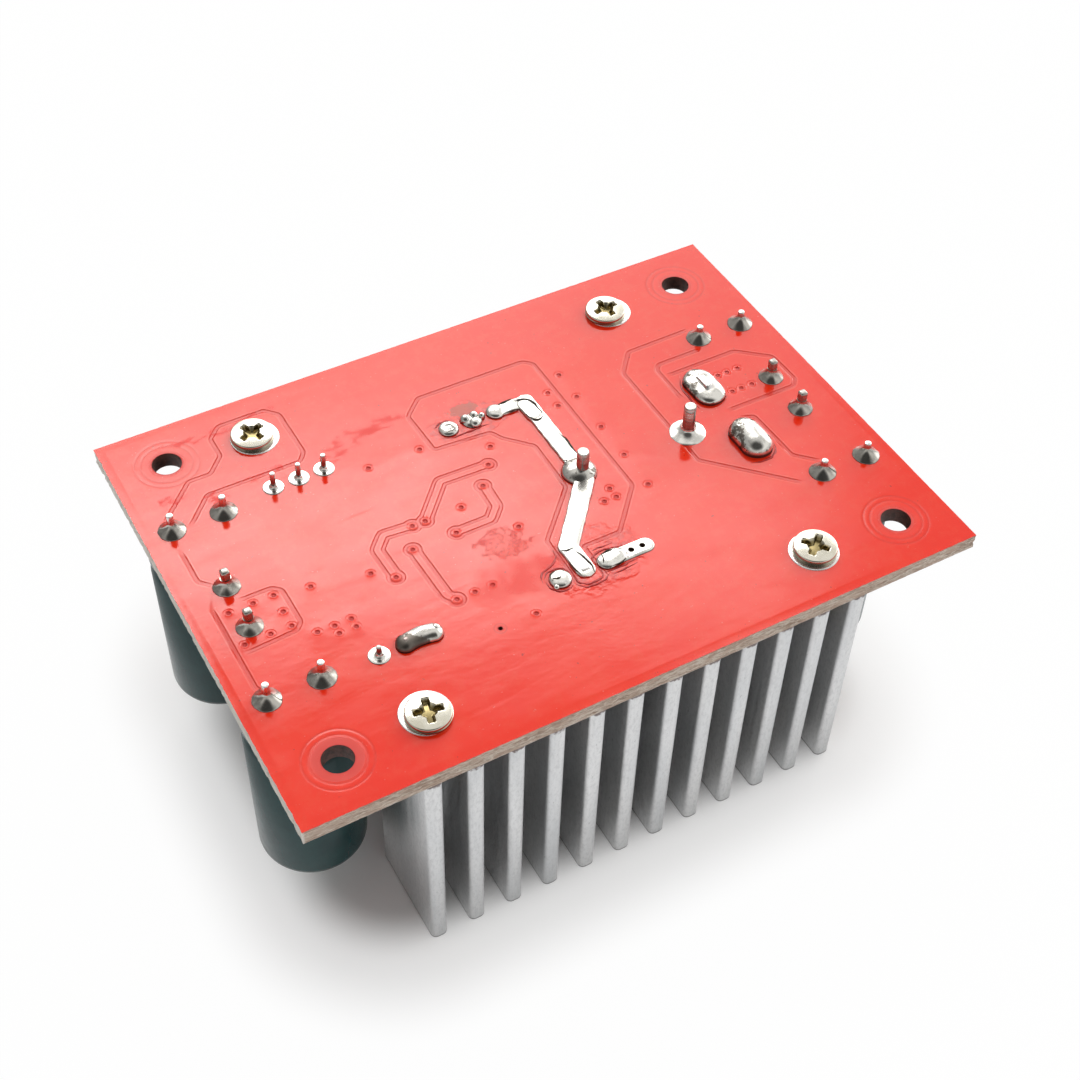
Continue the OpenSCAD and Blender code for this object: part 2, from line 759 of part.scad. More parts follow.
module block_screw(side) {
  slot_w = 0.6;
  slot_depth = 0.8;
  point = 0.4;
  color("silver")
    at_pole(side)
      difference() {
        rotate_extrude()
          polygon([
            [0, screw_tip], [clamp_screw_d / 2 - point, screw_tip], [clamp_screw_d / 2, screw_tip + point],
            [clamp_screw_d / 2, head_level], [clamp_head_d / 2, head_level],
            [clamp_head_d / 2, head_level + clamp_head_h], [0, head_level + clamp_head_h]]);
        translate([-clamp_head_d / 2, -slot_w / 2, head_level + clamp_head_h - slot_depth])
          cube([clamp_head_d, slot_w, slot_depth + eps]);
      }
}

module trimmer_housing() {
  foot_l = 1.2;
  bevel = 0.5;
  color("royalblue")
    difference() {
      union() {
        translate([-trimmer_l / 2, 0, trimmer_foot])
          cube([trimmer_l, trimmer_w, trimmer_h - trimmer_foot - bevel]);
        translate([bevel - trimmer_l / 2, bevel, trimmer_h - bevel - eps])
          cube([trimmer_l - 2 * bevel, trimmer_w - 2 * bevel, bevel + eps]);
        for (x = [-trimmer_l / 2, trimmer_l / 2 - foot_l])
          translate([x, 0, 0])
            cube([foot_l, trimmer_w, trimmer_foot + eps]);
      }
      translate([adjust_inset - trimmer_l / 2, trimmer_w - adjust_inset, 0]) {
        translate([0, 0, trimmer_h - adjust_sunk - adjust_shank_l])
          cylinder(h = adjust_shank_l + adjust_sunk, r = adjust_shank_d / 2 + screw_play);
        translate([0, 0, trimmer_h - adjust_sunk])
          cylinder(h = adjust_sunk + 1, r = adjust_d / 2 + screw_play);
      }
      for (pin = [-1:1])
        translate([pin * trimmer_pitch, trimmer_setback, trimmer_foot - eps])
          cylinder(h = 1, r = trimmer_pin_d / 2 + joint_play);
    }
}

module trimmer_pins(prouds) {
  color("silver")
    for (pin = [0:2])
      translate([(pin - 1) * trimmer_pitch, trimmer_setback, -(board_t + prouds[pin])])
        cylinder(h = board_t + prouds[pin] + trimmer_foot + 0.9, d = trimmer_pin_d);
}

module trimmer_screw() {
  slot_w = 0.45;
  slot_depth = 0.7;
  lift = 0.05;
  color("gold")
    translate([adjust_inset - trimmer_l / 2, trimmer_w - adjust_inset, trimmer_h])
      difference() {
        union() {
          translate([0, 0, lift - adjust_sunk])
            cylinder(h = adjust_sunk - lift + adjust_proud, d = adjust_d);
          translate([0, 0, lift - adjust_sunk - adjust_shank_l])
            cylinder(h = adjust_shank_l + eps, d = adjust_shank_d);
        }
        translate([-adjust_d, -slot_w / 2, adjust_proud - slot_depth])
          cube([2 * adjust_d, slot_w, 1]);
      }
}

module fuse_body() {
  pocket = 0.06;
  color("dodgerblue")
    hang()
      translate([fuse_x, fuse_y, fuse_gap])
        difference() {
          union() {
            translate([-fuse_waist_t / 2, -fuse_w / 2, 0])
              cube([fuse_waist_t, fuse_w, fuse_h]);
            translate([-fuse_t / 2, -fuse_w / 2, fuse_h - fuse_bar_h])
              cube([fuse_t, fuse_w, fuse_bar_h]);
          }
          translate([-blade_t / 2 - pocket, -(blade_pitch + blade_w) / 2 - pocket, -eps])
            cube([blade_t + 2 * pocket, blade_pitch + blade_w + 2 * pocket, blade_inside + pocket]);
        }
}

// Two blades and the narrow link that joins them, stamped in one piece
module fuse_element() {
  link_w = 0.9;
  nose = 0.5;
  tip = -(board_t + blade_proud);
  back = fuse_gap + blade_inside;
  outer = (blade_pitch + blade_w) / 2;
  inner = (blade_pitch - blade_w) / 2;
  color("silver")
    hang()
      translate([fuse_x, fuse_y, 0])
        rotate([90, 0, 90])
          linear_extrude(blade_t, center = true)
            polygon([
              [-outer, back], [-outer, tip + nose], [nose - outer, tip], [-inner - nose, tip],
              [-inner, tip + nose], [-inner, back - link_w], [inner, back - link_w],
              [inner, tip + nose], [inner + nose, tip], [outer - nose, tip],
              [outer, tip + nose], [outer, back]]);
}

module inductor_core() {
  in = core_id / 2;
  out = core_od / 2;
  half = core_h / 2;
  color("darkslategray")
    at_inductor()
      rotate([0, 90, 0])
        rotate_extrude()
          polygon(concat(
            arc(out - core_r, half - core_r, core_r, 0, 90, 4),
            arc(in + core_r, half - core_r, core_r, 90, 180, 4),
            arc(in + core_r, core_r - half, core_r, 180, 270, 4),
            arc(out - core_r, core_r - half, core_r, 270, 360, 4)));
}

// Route of the wire. A turn lies in a plane through the ring's axis and steps on at its outer side.
// Each point is [distance along the axis, distance from the axis, angle from the top].
coil_in = core_id / 2 - wire_play - wire_r;
coil_out = core_od / 2 + wire_play + wire_r;
coil_side = coil_lead_spacing / 2;
coil_bend = core_r + wire_play + wire_r;
turn_step = (360 - turn_gap) / (turns - 1);
function at_angle(points, angle) = [for (p = points) [p[0], p[1], angle]];
function turn_in(angle) = at_angle(concat(
  arc(coil_bend - coil_side, coil_in + coil_bend, coil_bend, 180, 270, 2),
  arc(coil_side - coil_bend, coil_in + coil_bend, coil_bend, 270, 360, 2)), angle);
function turn_out(angle) = concat(
  at_angle(arc(coil_side - coil_bend, coil_out - coil_bend, coil_bend, 0, 90, 2), angle),
  at_angle(arc(coil_bend - coil_side, coil_out - coil_bend, coil_bend, 90, 180, 2), angle + turn_step));
function lead_out(side, proud) = [
  [side * coil_side, top + proud - coil_z, 0],
  [side * coil_side, under - coil_z, 0],
  [side * coil_side, coil_out, 0]];
wire_route = concat(
  lead_out(-1, coil_proud_a),
  [for (i = [0:turns - 2]) let(a = turn_gap / 2 + i * turn_step) each concat(turn_in(a), turn_out(a))],
  turn_in(360 - turn_gap / 2),
  [for (p = turned_back(lead_out(1, coil_proud_b))) [p[0], p[1], 360]]);
function wire_point(p) = [p[0], p[1] * sin(p[2]), p[1] * cos(p[2])];

// Tube of eight sides swept along the wire's route
wire_sides = 8;
function unit(v) = v / norm(v);
function route_heading(i) = unit(
  wire_point(wire_route[min(i + 1, len(wire_route) - 1)]) - wire_point(wire_route[max(i - 1, 0)]));
function wire_ring(i) =
  let(heading = route_heading(i),
      angle = wire_route[i][2],
      round = [0, cos(angle), -sin(angle)],
      across = unit(round - (round * heading) * heading),
      other = cross(heading, across))
  [for (k = [0:wire_sides - 1]) let(a = 360 * (k + 0.5) / wire_sides)
    wire_point(wire_route[i]) + wire_r * (cos(a) * across + sin(a) * other)];

module inductor_winding() {
  rings = len(wire_route);
  points = [for (i = [0:rings - 1]) each wire_ring(i)];
  walls = [for (i = [0:rings - 2], k = [0:wire_sides - 1])
    let(n = (k + 1) % wire_sides, a = i * wire_sides, b = a + wire_sides)
    each [[a + k, a + n, b + n], [a + k, b + n, b + k]]];
  start = [for (k = [wire_sides - 1:-1:0]) k];
  finish = [for (k = [0:wire_sides - 1]) (rings - 1) * wire_sides + k];
  color("chocolate")
    at_inductor()
      polyhedron(points, concat([start, finish], walls));
}

// Small-outline chip with four gull-wing leads on each side, lying along Y
module chip(y) {
  foot = 0.6;
  lead_t = 0.2;
  lead_w = 0.4;
  stand = 0.15;
  knee = chip_t / 2;
  color("black")
    hang()
      translate([chip_x, y, 0]) {
        translate([-chip_w / 2, -chip_l / 2, stand])
          cube([chip_w, chip_l, chip_t - stand]);
        for (side = [0, 1], i = [-1.5:1.5])
          mirror([side, 0, 0])
            translate([0, i * chip_pitch + lead_w / 2, 0])
              rotate([90, 0, 0])
                linear_extrude(lead_w)
                  polygon([
                    [chip_span / 2, 0], [chip_span / 2, lead_t], [chip_span / 2 - foot + lead_t, lead_t],
                    [chip_span / 2 - foot, knee + lead_t], [chip_w / 2, knee + lead_t],
                    [chip_w / 2, knee], [chip_span / 2 - foot - lead_t, knee],
                    [chip_span / 2 - foot, 0]]);
      }
}

// Chip part with metal ends, lying along X
module chip_part(x, y, thickness) {
  end_l = 0.4;
  end_t = 0.03;
  translate([x, y, 0]) {
    translate([end_t - chip_part_l / 2, end_t - chip_part_w / 2, end_t])
      cube([chip_part_l - 2 * end_t, chip_part_w - 2 * end_t, thickness - 2 * end_t]);
    for (side = [-1, 1])
      translate([side * (chip_part_l - end_l) / 2 - end_l / 2, -chip_part_w / 2, 0])
        cube([end_l, chip_part_w, thickness]);
  }
}

module chip_resistors() {
  row_x = device_x - device_w / 2 - chip_row_device_gap - chip_part_l / 2;
  row_y = chip_y + chip_l / 2 + chip_row_gap + chip_part_w / 2;
  color("dimgray")
    hang()
      for (side = [-1, 1], i = [0:2])
        chip_part(row_x - i * chip_part_step, side * row_y, chip_resistor_t);
}

module chip_capacitors() {
  color("tan")
    hang() {
      for (i = [-0.5, 0.5])
        chip_part(chip_x + i * (chip_part_l + 0.5), 0, chip_capacitor_t);
      for (side = [-1, 1])
        chip_part(fuse_x - fuse_t / 2, fuse_y + side * (fuse_w / 2 + 1.8), chip_capacitor_t);
    }
}

module shunt_resistor() {
  end_l = 0.9;
  end_t = 0.08;
  color("dimgray")
    hang()
      translate([shunt_x, -shunt_l / 4, 0]) {
        translate([-shunt_w / 2, -shunt_l / 2, end_t])
          cube([shunt_w, shunt_l, shunt_t - end_t]);
        for (side = [-1, 1])
          translate([-shunt_w / 2, side * (shunt_l - end_l) / 2 - end_l / 2, 0])
            cube([shunt_w, end_l, shunt_t / 2]);
      }
}

// Hollow cone of solder that climbs a lead
module joint(x, y, pad_r, lead_r, height) {
  inner = lead_r + joint_play;
  crest = inner + 0.1;
  steps = 5;
  translate([x, y, top])
    rotate_extrude()
      polygon(concat(
        [[inner, 0], [pad_r, 0]],
        [for (i = [0:steps]) let(s = i / steps)
          [crest + (pad_r - crest) * pow(1 - s, 2), 0.1 + (height - 0.1) * s]],
        [[inner, height]]));
}

// Low dome of solder, the end of a longer blob
module dome(x, y, r, height) {
  steps = 5;
  translate([x, y, top])
    rotate_extrude($fn = 24)
      polygon(concat(
        [[0, 0]],
        [for (i = [0:steps]) [r * cos(90 * i / steps), height * (0.15 + 0.85 * sin(90 * i / steps))]]));
}

module solder_joints() {
  cap_joint_h = 1.2;
  pin_joint_h = 1;
  trimmer_joint_h = 0.4;
  device_joint_h = device_proud;
  coil_joint_h = 1.1;
  rear_pin_y = rear_trimmer_y - trimmer_setback;
  front_pin_y = trimmer_setback - front_trimmer_y;
  bean_x = trimmer_x + trimmer_pitch / 2;
  end_y = (blade_joint_l - blade_joint_w) / 2;
  front_blade_joint_h = 1.6;
  rear_blade_joint_h = 0.9;
  color("whitesmoke") {
    for (end = [-1, 1], side = [-1, 1], lead = [-1, 1])
      joint(end * cap_x + lead * cap_pitch / 2, side * cap_y, cap_joint_r, cap_lead_d / 2, cap_joint_h);
    for (pole = [-1, 1]) {
      joint(output_pin_x, output_block_y + pole * pole_pitch / 2, pin_joint_r, pin_w / sqrt(2), pin_joint_h);
      joint(input_pin_x, pole * pole_pitch / 2, pin_joint_r, pin_w / sqrt(2), pin_joint_h);
    }
    for (pin = [-1:1])
      joint(trimmer_x + pin * trimmer_pitch, rear_pin_y, trimmer_joint_r, trimmer_pin_d / 2, trimmer_joint_h);
    joint(trimmer_x - trimmer_pitch, front_pin_y, trimmer_joint_r, trimmer_pin_d / 2, trimmer_joint_h);
    for (lead = [-1, 0])
      joint(device_x + lead * device_pitch, device_pin_y, device_joint_r, device_lead_w / 2 + 0.08,
            device_joint_h);
    joint(device_x - device_pitch, -device_pin_y, device_joint_r, device_lead_w / 2 + 0.08, device_joint_h);
    for (lead = [-1, 1])
      joint(coil_x + lead * coil_lead_spacing / 2, coil_y, coil_joint_r, wire_r, coil_joint_h);
    difference() {
      hull()
        for (pin = [-1, 1])
          dome(bean_x + pin * trimmer_pitch / 2, front_pin_y, trimmer_joint_r, bean_h);
      for (pin = [-1, 1])
        translate([bean_x + pin * trimmer_pitch / 2, front_pin_y, top - eps])
          cylinder(h = bean_h + 1, r = trimmer_pin_d / 2 + joint_play);
    }
    for (side = [-1, 1])
      difference() {
        hull()
          for (end = [-1, 1])
            dome(fuse_x, fuse_y + side * blade_pitch / 2 + end * end_y, blade_joint_w / 2,
                 side < 0 ? front_blade_joint_h : rear_blade_joint_h);
        translate([fuse_x - blade_t / 2 - joint_play,
                   fuse_y + side * blade_pitch / 2 - blade_w / 2 - joint_play, top - eps])
          cube([blade_t + 2 * joint_play, blade_w + 2 * joint_play, blade_proud + 2 * joint_play]);
      }
  }
}

// Straight stretch of bare strip between two points of the board
module strip(from, to, width) {
  run = to - from;
  translate(from)
    rotate(atan2(run[1], run[0]))
      translate([-width / 2, -width / 2])
        square([norm(run) + width, width]);
}

// Solder on the bare copper of the switch node and of the transistor's source
module tinned_strips() {
  lead_a = [coil_x - coil_lead_spacing / 2, coil_y];
  anode = [device_x + device_pitch, device_pin_y];
  drain = [device_x, -device_pin_y];
  bend_y = 3;
  tail = 0.8;
  lead_hole = device_lead_w / 2 + 0.08 + joint_play;
  color("whitesmoke")
    translate([0, 0, top])
      linear_extrude(strip_solder_t)
        difference() {
          union() {
            strip(anode, [lead_a[0], anode[1]], switch_strip_w);
            strip([lead_a[0], anode[1]], lead_a, switch_strip_w);
            strip(lead_a, drain + [0, bend_y], switch_strip_w);
            strip(drain + [0, bend_y], drain - [0, tail], switch_strip_w);
            translate(source_pin + [source_strip_l / 2 - source_strip_w / 2, 0])
              polygon(bar_outline(source_strip_l, source_strip_w));
          }
          translate(lead_a)
            circle(r = coil_joint_r + joint_play);
          for (lead = [anode, drain, source_pin])
            translate(lead)
              circle(r = lead_hole);
          for (hole = spare_holes)
            translate(hole)
              circle(d = spare_hole_d);
        }
}

circuit_board();
heatsink(-1);  // front_heatsink
heatsink(1);  // rear_heatsink
heatsink_screws();
device_body(-1);  // transistor_body
device_tab(-1);  // transistor_tab
device_leads(-1);  // transistor_leads
device_screw(-1);  // transistor_screw
device_body(1);  // rectifier_body
device_tab(1);  // rectifier_tab
device_leads(1);  // rectifier_leads
device_screw(1);  // rectifier_screw
capacitor_can(-1, -1);  // front_output_capacitor_can
capacitor_sleeve(-1, -1);  // front_output_capacitor_sleeve
capacitor_seal(-1, -1);  // front_output_capacitor_seal
capacitor_leads(-1, -1);  // front_output_capacitor_leads
capacitor_can(-1, 1);  // rear_output_capacitor_can
capacitor_sleeve(-1, 1);  // rear_output_capacitor_sleeve
capacitor_seal(-1, 1);  // rear_output_capacitor_seal
capacitor_leads(-1, 1);  // rear_output_capacitor_leads
capacitor_can(1, -1);  // front_input_capacitor_can
capacitor_sleeve(1, -1);  // front_input_capacitor_sleeve
capacitor_seal(1, -1);  // front_input_capacitor_seal
capacitor_leads(1, -1);  // front_input_capacitor_leads
capacitor_can(1, 1);  // rear_input_capacitor_can
capacitor_sleeve(1, 1);  // rear_input_capacitor_sleeve
capacitor_seal(1, 1);  // rear_input_capacitor_seal
capacitor_leads(1, 1);  // rear_input_capacitor_leads
at_output_block() block_housing();  // output_block_housing
at_output_block() block_contacts();  // output_block_contacts
at_output_block() block_clamp(-1);  // output_front_clamp
at_output_block() block_clamp(1);  // output_rear_clamp
at_output_block() block_screw(-1);  // output_front_clamp_screw
at_output_block() block_screw(1);  // output_rear_clamp_screw
at_input_block() block_housing();  // input_block_housing
at_input_block() block_contacts();  // input_block_contacts
at_input_block() block_clamp(-1);  // input_front_clamp
at_input_block() block_clamp(1);  // input_rear_clamp
at_input_block() block_screw(-1);  // input_front_clamp_screw
at_input_block() block_screw(1);  // input_rear_clamp_screw
at_rear_trimmer() trimmer_housing();  // rear_trimmer_housing
at_rear_trimmer() trimmer_pins(rear_prouds);  // rear_trimmer_pins
at_rear_trimmer() trimmer_screw();  // rear_trimmer_screw
at_front_trimmer() trimmer_housing();  // front_trimmer_housing
at_front_trimmer() trimmer_pins(front_prouds);  // front_trimmer_pins
at_front_trimmer() trimmer_screw();  // front_trimmer_screw
fuse_body();
fuse_element();
inductor_core();
inductor_winding();
chip(chip_y);  // controller_chip
chip(-chip_y);  // amplifier_chip
shunt_resistor();
chip_resistors();
chip_capacitors();
solder_joints();
tinned_strips();
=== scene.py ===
"""Looks of the boost converter module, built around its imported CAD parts.

Lengths are in millimetres in the tables below and become metres when a mesh is made.
"""
import json
import math

import bmesh
import bpy
import numpy as np
from mathutils import Euler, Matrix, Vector, noise
from mathutils.geometry import delaunay_2d_cdt

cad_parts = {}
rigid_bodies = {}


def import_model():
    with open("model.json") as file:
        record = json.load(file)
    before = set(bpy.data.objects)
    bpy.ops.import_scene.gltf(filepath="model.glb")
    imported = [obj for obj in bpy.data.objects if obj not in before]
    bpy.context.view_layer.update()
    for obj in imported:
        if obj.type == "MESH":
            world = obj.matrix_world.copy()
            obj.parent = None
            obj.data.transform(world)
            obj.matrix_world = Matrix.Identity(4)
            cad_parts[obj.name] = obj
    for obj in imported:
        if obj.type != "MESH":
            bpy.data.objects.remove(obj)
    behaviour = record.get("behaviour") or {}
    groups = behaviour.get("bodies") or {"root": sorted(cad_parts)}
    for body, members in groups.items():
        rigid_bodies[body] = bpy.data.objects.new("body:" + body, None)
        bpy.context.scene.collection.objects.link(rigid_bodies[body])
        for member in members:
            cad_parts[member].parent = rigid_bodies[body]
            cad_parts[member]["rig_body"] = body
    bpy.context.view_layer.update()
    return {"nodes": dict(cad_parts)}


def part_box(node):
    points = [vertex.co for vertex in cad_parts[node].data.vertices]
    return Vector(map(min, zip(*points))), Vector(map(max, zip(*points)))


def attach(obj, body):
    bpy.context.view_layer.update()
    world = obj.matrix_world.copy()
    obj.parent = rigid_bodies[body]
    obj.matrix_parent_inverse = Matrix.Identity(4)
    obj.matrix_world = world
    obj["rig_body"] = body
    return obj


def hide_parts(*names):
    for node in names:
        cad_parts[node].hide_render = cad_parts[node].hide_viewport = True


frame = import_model()
NODES = frame["nodes"]
MM = 0.001
ROOT = "module"
SIDES, ENDS = ("front", "rear"), ("output", "input")


def node_box(name):
    """Lowest and highest corner of a CAD node in millimetres."""
    low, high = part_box(name)
    return low / MM, high / MM


BOARD_LOW, BOARD_HIGH = node_box("circuit_board")
TOP = BOARD_HIGH.z
UNDER = BOARD_LOW.z
HALF_L = BOARD_HIGH.x
HALF_W = BOARD_HIGH.y

# Places on the board that the joints, holes and copper share
CAP_X, CAP_Y, CAP_PITCH = 28.25, 10.78, 5.0
PIN_X, OUTPUT_Y, POLE_PITCH = 28.95, -0.25, 5.08
TRIMMER_X, TRIMMER_PITCH = -17.985, 2.54
REAR_TRIMMER_Y, FRONT_TRIMMER_Y = 11.55, -10.95
DEVICE_X, DEVICE_Y, DEVICE_PITCH = -0.2, 10.8, 2.54
COIL_X, COIL_Y, COIL_Z, COIL_SIDE = 11.5, -0.25, 13.09, 5.86
FUSE_X, FUSE_Y, BLADE_PITCH = 22.1, 0.1, 8.2
MOUNT_X, MOUNT_Y, MOUNT_R = 28.1, 19.0, 1.4
CLIP_X, CLIP_Y, CLIP_MIDDLE = 19.5, 18.55, -0.2
SPARE_HOLES, SPARE_R = ((4.60, -10.8), (5.77, -10.8)), 0.3


def pin_row(x, y, pitch):
    """Three places side by side."""
    return [(x + i * pitch, y) for i in (-1, 0, 1)]


def pin_pair(x, y, pitch):
    """Two places, the front one first."""
    return [(x, y + side * pitch / 2) for side in (-1, 1)]


def four_ways(x, y, middle=0.0):
    """Four places towards the corners of the board."""
    return [(middle + sx * x, sy * y) for sx in (-1, 1) for sy in (-1, 1)]


def box_loop(half_x, half_y, x=0.0, y=0.0):
    """Corners of a rectangle around a place."""
    return [(x - half_x, y - half_y), (x + half_x, y - half_y), (x + half_x, y + half_y), (x - half_x, y + half_y)]


CAP_LEADS = [(x + lead * CAP_PITCH / 2, y) for x, y in four_ways(CAP_X, CAP_Y) for lead in (-1, 1)]
OUTPUT_PINS, INPUT_PINS = pin_pair(-PIN_X, OUTPUT_Y, POLE_PITCH), pin_pair(PIN_X, 0.0, POLE_PITCH)
REAR_TRIMMER_PINS = pin_row(TRIMMER_X, REAR_TRIMMER_Y, TRIMMER_PITCH)
FRONT_TRIMMER_PINS = pin_row(TRIMMER_X, FRONT_TRIMMER_Y, TRIMMER_PITCH)
RECTIFIER_PINS = pin_row(DEVICE_X, DEVICE_Y, DEVICE_PITCH)
TRANSISTOR_PINS = pin_row(DEVICE_X, -DEVICE_Y, DEVICE_PITCH)
COIL_A, COIL_B = (COIL_X - COIL_SIDE, COIL_Y), (COIL_X + COIL_SIDE, COIL_Y)
FUSE_FRONT, FUSE_REAR = pin_pair(FUSE_X, FUSE_Y, BLADE_PITCH)
MOUNTS, CLIPS = four_ways(MOUNT_X, MOUNT_Y), four_ways(CLIP_X, CLIP_Y, CLIP_MIDDLE)


# Shader graph helpers

class Nodes:
    """A shader tree, with short ways to add nodes to it."""

    def __init__(self, owner, output, shader):
        owner.use_nodes = True
        self.tree = owner.node_tree
        self.tree.nodes.clear()
        self.output, self.shader = self.add(output), self.add(shader)
        self.put(self.shader.outputs[0], self.output.inputs[0])

    def add(self, kind, operation=None):
        node = self.tree.nodes.new("ShaderNode" + kind)
        if operation:
            node.operation = operation
        return node

    def put(self, value, socket):
        """Links an output to a socket, or sets a constant value there."""
        if hasattr(value, "is_output"):
            self.tree.links.new(value, socket)
        elif socket.type == "RGBA" and len(value) == 3:
            socket.default_value = (*value, 1.0)
        else:
            socket.default_value = value

    def fill(self, node, **sockets):
        """Puts values on inputs of a node by name, with _ for each space."""
        for name, value in sockets.items():
            self.put(value, node.inputs[name.replace("_", " ")])
        return node

    def maths(self, operation, total, *others, clamp=False):
        """Result of an operation; more than two values are joined in turn."""
        for value in others or (0.0,):
            node = self.add("Math", operation)
            node.use_clamp = clamp
            self.put(total, node.inputs[0])
            self.put(value, node.inputs[1])
            total = node.outputs[0]
        return total

    def times(self, *values):
        return self.maths("MULTIPLY", *values)

    def plus(self, *values):
        return self.maths("ADD", *values)

    def less(self, a, b):
        return self.maths("SUBTRACT", a, b)

    def most(self, *values):
        return self.maths("MAXIMUM", *values)

    def total(self, *parts):
        """Sum of values, each times its weight."""
        return self.plus(*(self.times(value, weight) for value, weight in parts))

    def vector(self, operation, a, b=(0.0, 0.0, 0.0)):
        node = self.add("VectorMath", operation)
        self.put(a, node.inputs[0])
        self.put(b, node.inputs[1])
        return node

    def ramp(self, value, low, high, out_low=0.0, out_high=1.0):
        """Smooth step between two values."""
        node = self.add("MapRange")
        node.interpolation_type = "SMOOTHSTEP"
        self.fill(node, Value=value, From_Min=low, From_Max=high, To_Min=out_low, To_Max=out_high)
        return node.outputs["Result"]


class Graph(Nodes):
    """A procedural material with one principled shader."""

    def __init__(self, name):
        self.material = bpy.data.materials.new(name)
        super().__init__(self.material, "OutputMaterial", "BsdfPrincipled")
        self.coordinates = self.add("TexCoord").outputs["Object"]

    def scaled(self, factors, vector=None):
        return self.vector("MULTIPLY", vector or self.coordinates, factors).outputs[0]

    def noise(self, size, detail=3.0, rough=0.55, stretch=None, distortion=0.0):
        """Noise whose lumps are about size millimetres across, centred on 0.5."""
        vector = self.scaled(stretch) if stretch else self.coordinates
        return self.fill(self.add("TexNoise"), Vector=vector, Scale=1.0 / (size * MM), Detail=detail,
                         Roughness=rough, Distortion=distortion).outputs["Fac"]

    def patches(self, size, detail, rough, low, high, out_low=0.0, out_high=1.0, stretch=None):
        """Noise with a smooth step between two of its values."""
        return self.ramp(self.noise(size, detail, rough, stretch), low, high, out_low, out_high)

    def uneven(self, value, swing, *grain):
        """Value that noise of a full swing has been added to."""
        return self.plus(value, self.times(self.less(self.noise(*grain), 0.5), swing))

    def mix(self, share, a, b):
        node = self.add("Mix")
        node.data_type = "RGBA"
        for index, value in ((0, share), (6, a), (7, b)):
            self.put(value, node.inputs[index])
        return node.outputs[2]

    def layers(self, colour, *coats):
        """Colour with coats laid over it in turn, each a share and a colour."""
        for share, coat in coats:
            colour = self.mix(share, colour, coat)
        return colour

    def attribute(self, name):
        node = self.add("Attribute")
        node.attribute_name = name
        return node.outputs["Fac"]

    def axis(self, index):
        return self.fill(self.add("SeparateXYZ"), Vector=self.coordinates).outputs[index]

    def along(self, index, low, high, out_low=0.0, out_high=1.0):
        """Smooth step between two places along an axis, in millimetres."""
        return self.ramp(self.axis(index), low * MM, high * MM, out_low, out_high)

    def around(self, centre, ragged, wave, wide=1.0):
        """Uneven distance from a point of the board, in metres."""
        shift = self.vector("SUBTRACT", self.coordinates, (centre[0] * MM, centre[1] * MM, TOP * MM)).outputs[0]
        away = self.vector("LENGTH", self.scaled((1.0 / wide, 1.0, 1.0), shift)).outputs["Value"]
        return self.uneven(away, 2 * ragged * MM, wave, 3)

    def spot(self, centre, reach, ragged, wave, wide=1.0):
        """Ragged patch around a point of the board: 1 inside, 0 outside."""
        return self.ramp(self.around(centre, ragged, wave, wide), reach * 0.82 * MM, reach * MM, 1.0, 0.0)

    def shaded_towards_joint(self, colour, share=0.8, low=0.9, high=1.8):
        """Colour of a lead with painted shade that darkens it towards its joint."""
        return self.mix(self.along(2, TOP + low, TOP + high, share, 0.0), colour, (0.16, 0.10, 0.085))

    def finish(self, height, depth, **sockets):
        """Fills the shader, with a bump whose height 0 to 1 stands for depth millimetres."""
        bump = self.fill(self.add("Bump"), Strength=1.0, Distance=depth * MM, Height=height)
        self.fill(self.shader, Normal=bump.outputs[0], **sockets)
        return self.material


# Materials

def metal(name, tint, dull, rough, grain, stretch=None, depth=0.004, patch=1.2, lead=False):
    """Bare metal with duller patches and a fine grain; a lead also gets painted shade towards its joint."""
    g = Graph(name)
    patches = g.patches(patch, 4, 0.6, 0.35, 0.7)
    fine = g.noise(grain, 4, 0.6, stretch)
    colour = g.mix(patches, tint, dull)
    return g.finish(fine, depth, Base_Color=g.shaded_towards_joint(colour) if lead else colour, Metallic=1.0,
                    Roughness=g.ramp(g.total((fine, 0.7), (patches, 0.3)), 0.25, 0.75, rough - 0.06, rough + 0.12))


def screw_nickel():
    """Pale gold nickel of the screws, with painted shade in the recess and on the skirt of the head."""
    g = Graph("pale_nickel")
    colour = g.layers((0.68, 0.655, 0.57), (g.patches(1.5, 4, 0.6, 0.35, 0.7), (0.58, 0.55, 0.46)),
                      (g.attribute("burnt"), (0.26, 0.21, 0.10)))
    return g.finish(g.noise(0.3, 3, 0.6), 0.002, Base_Color=colour, Metallic=1.0,
                    Roughness=g.patches(0.25, 4, 0.6, 0.3, 0.7, 0.15, 0.24))


def plastic(name, colour, shade, rough, grain=0.12, depth=0.006, patch=2.5):
    """Moulded plastic with a fine texture and slight mottling."""
    g = Graph(name)
    fine = g.noise(grain, 3, 0.6)
    return g.finish(fine, depth, Base_Color=g.mix(g.patches(patch, 4, 0.6, 0.3, 0.7), colour, shade),
                    Roughness=g.ramp(fine, 0.3, 0.7, rough - 0.06, rough + 0.08))


# Smears of the mask, deeper red and rougher: middle, reach, raggedness, size of its waves, stretch along the board
SMEARS = (
    ((-13.2, 13.0), 1.2, 1.3, 1.1, 2.0), ((-9.0, 14.6), 1.0, 1.5, 1.3, 4.0), ((-25.6, 12.7), 0.8, 0.9, 0.8, 1.4),
    ((-21.3, 13.7), 0.7, 0.8, 1.5, 3.6), ((-28.9, 14.3), 0.6, 0.8, 1.4, 3.4), ((-22.5, 21.1), 0.7, 0.9, 1.3, 9.0),
)
# The broad smear has no sharp reach
BROAD_SMEAR = ((-5.6, -8.9), 2.2, 2.4, 1.9)


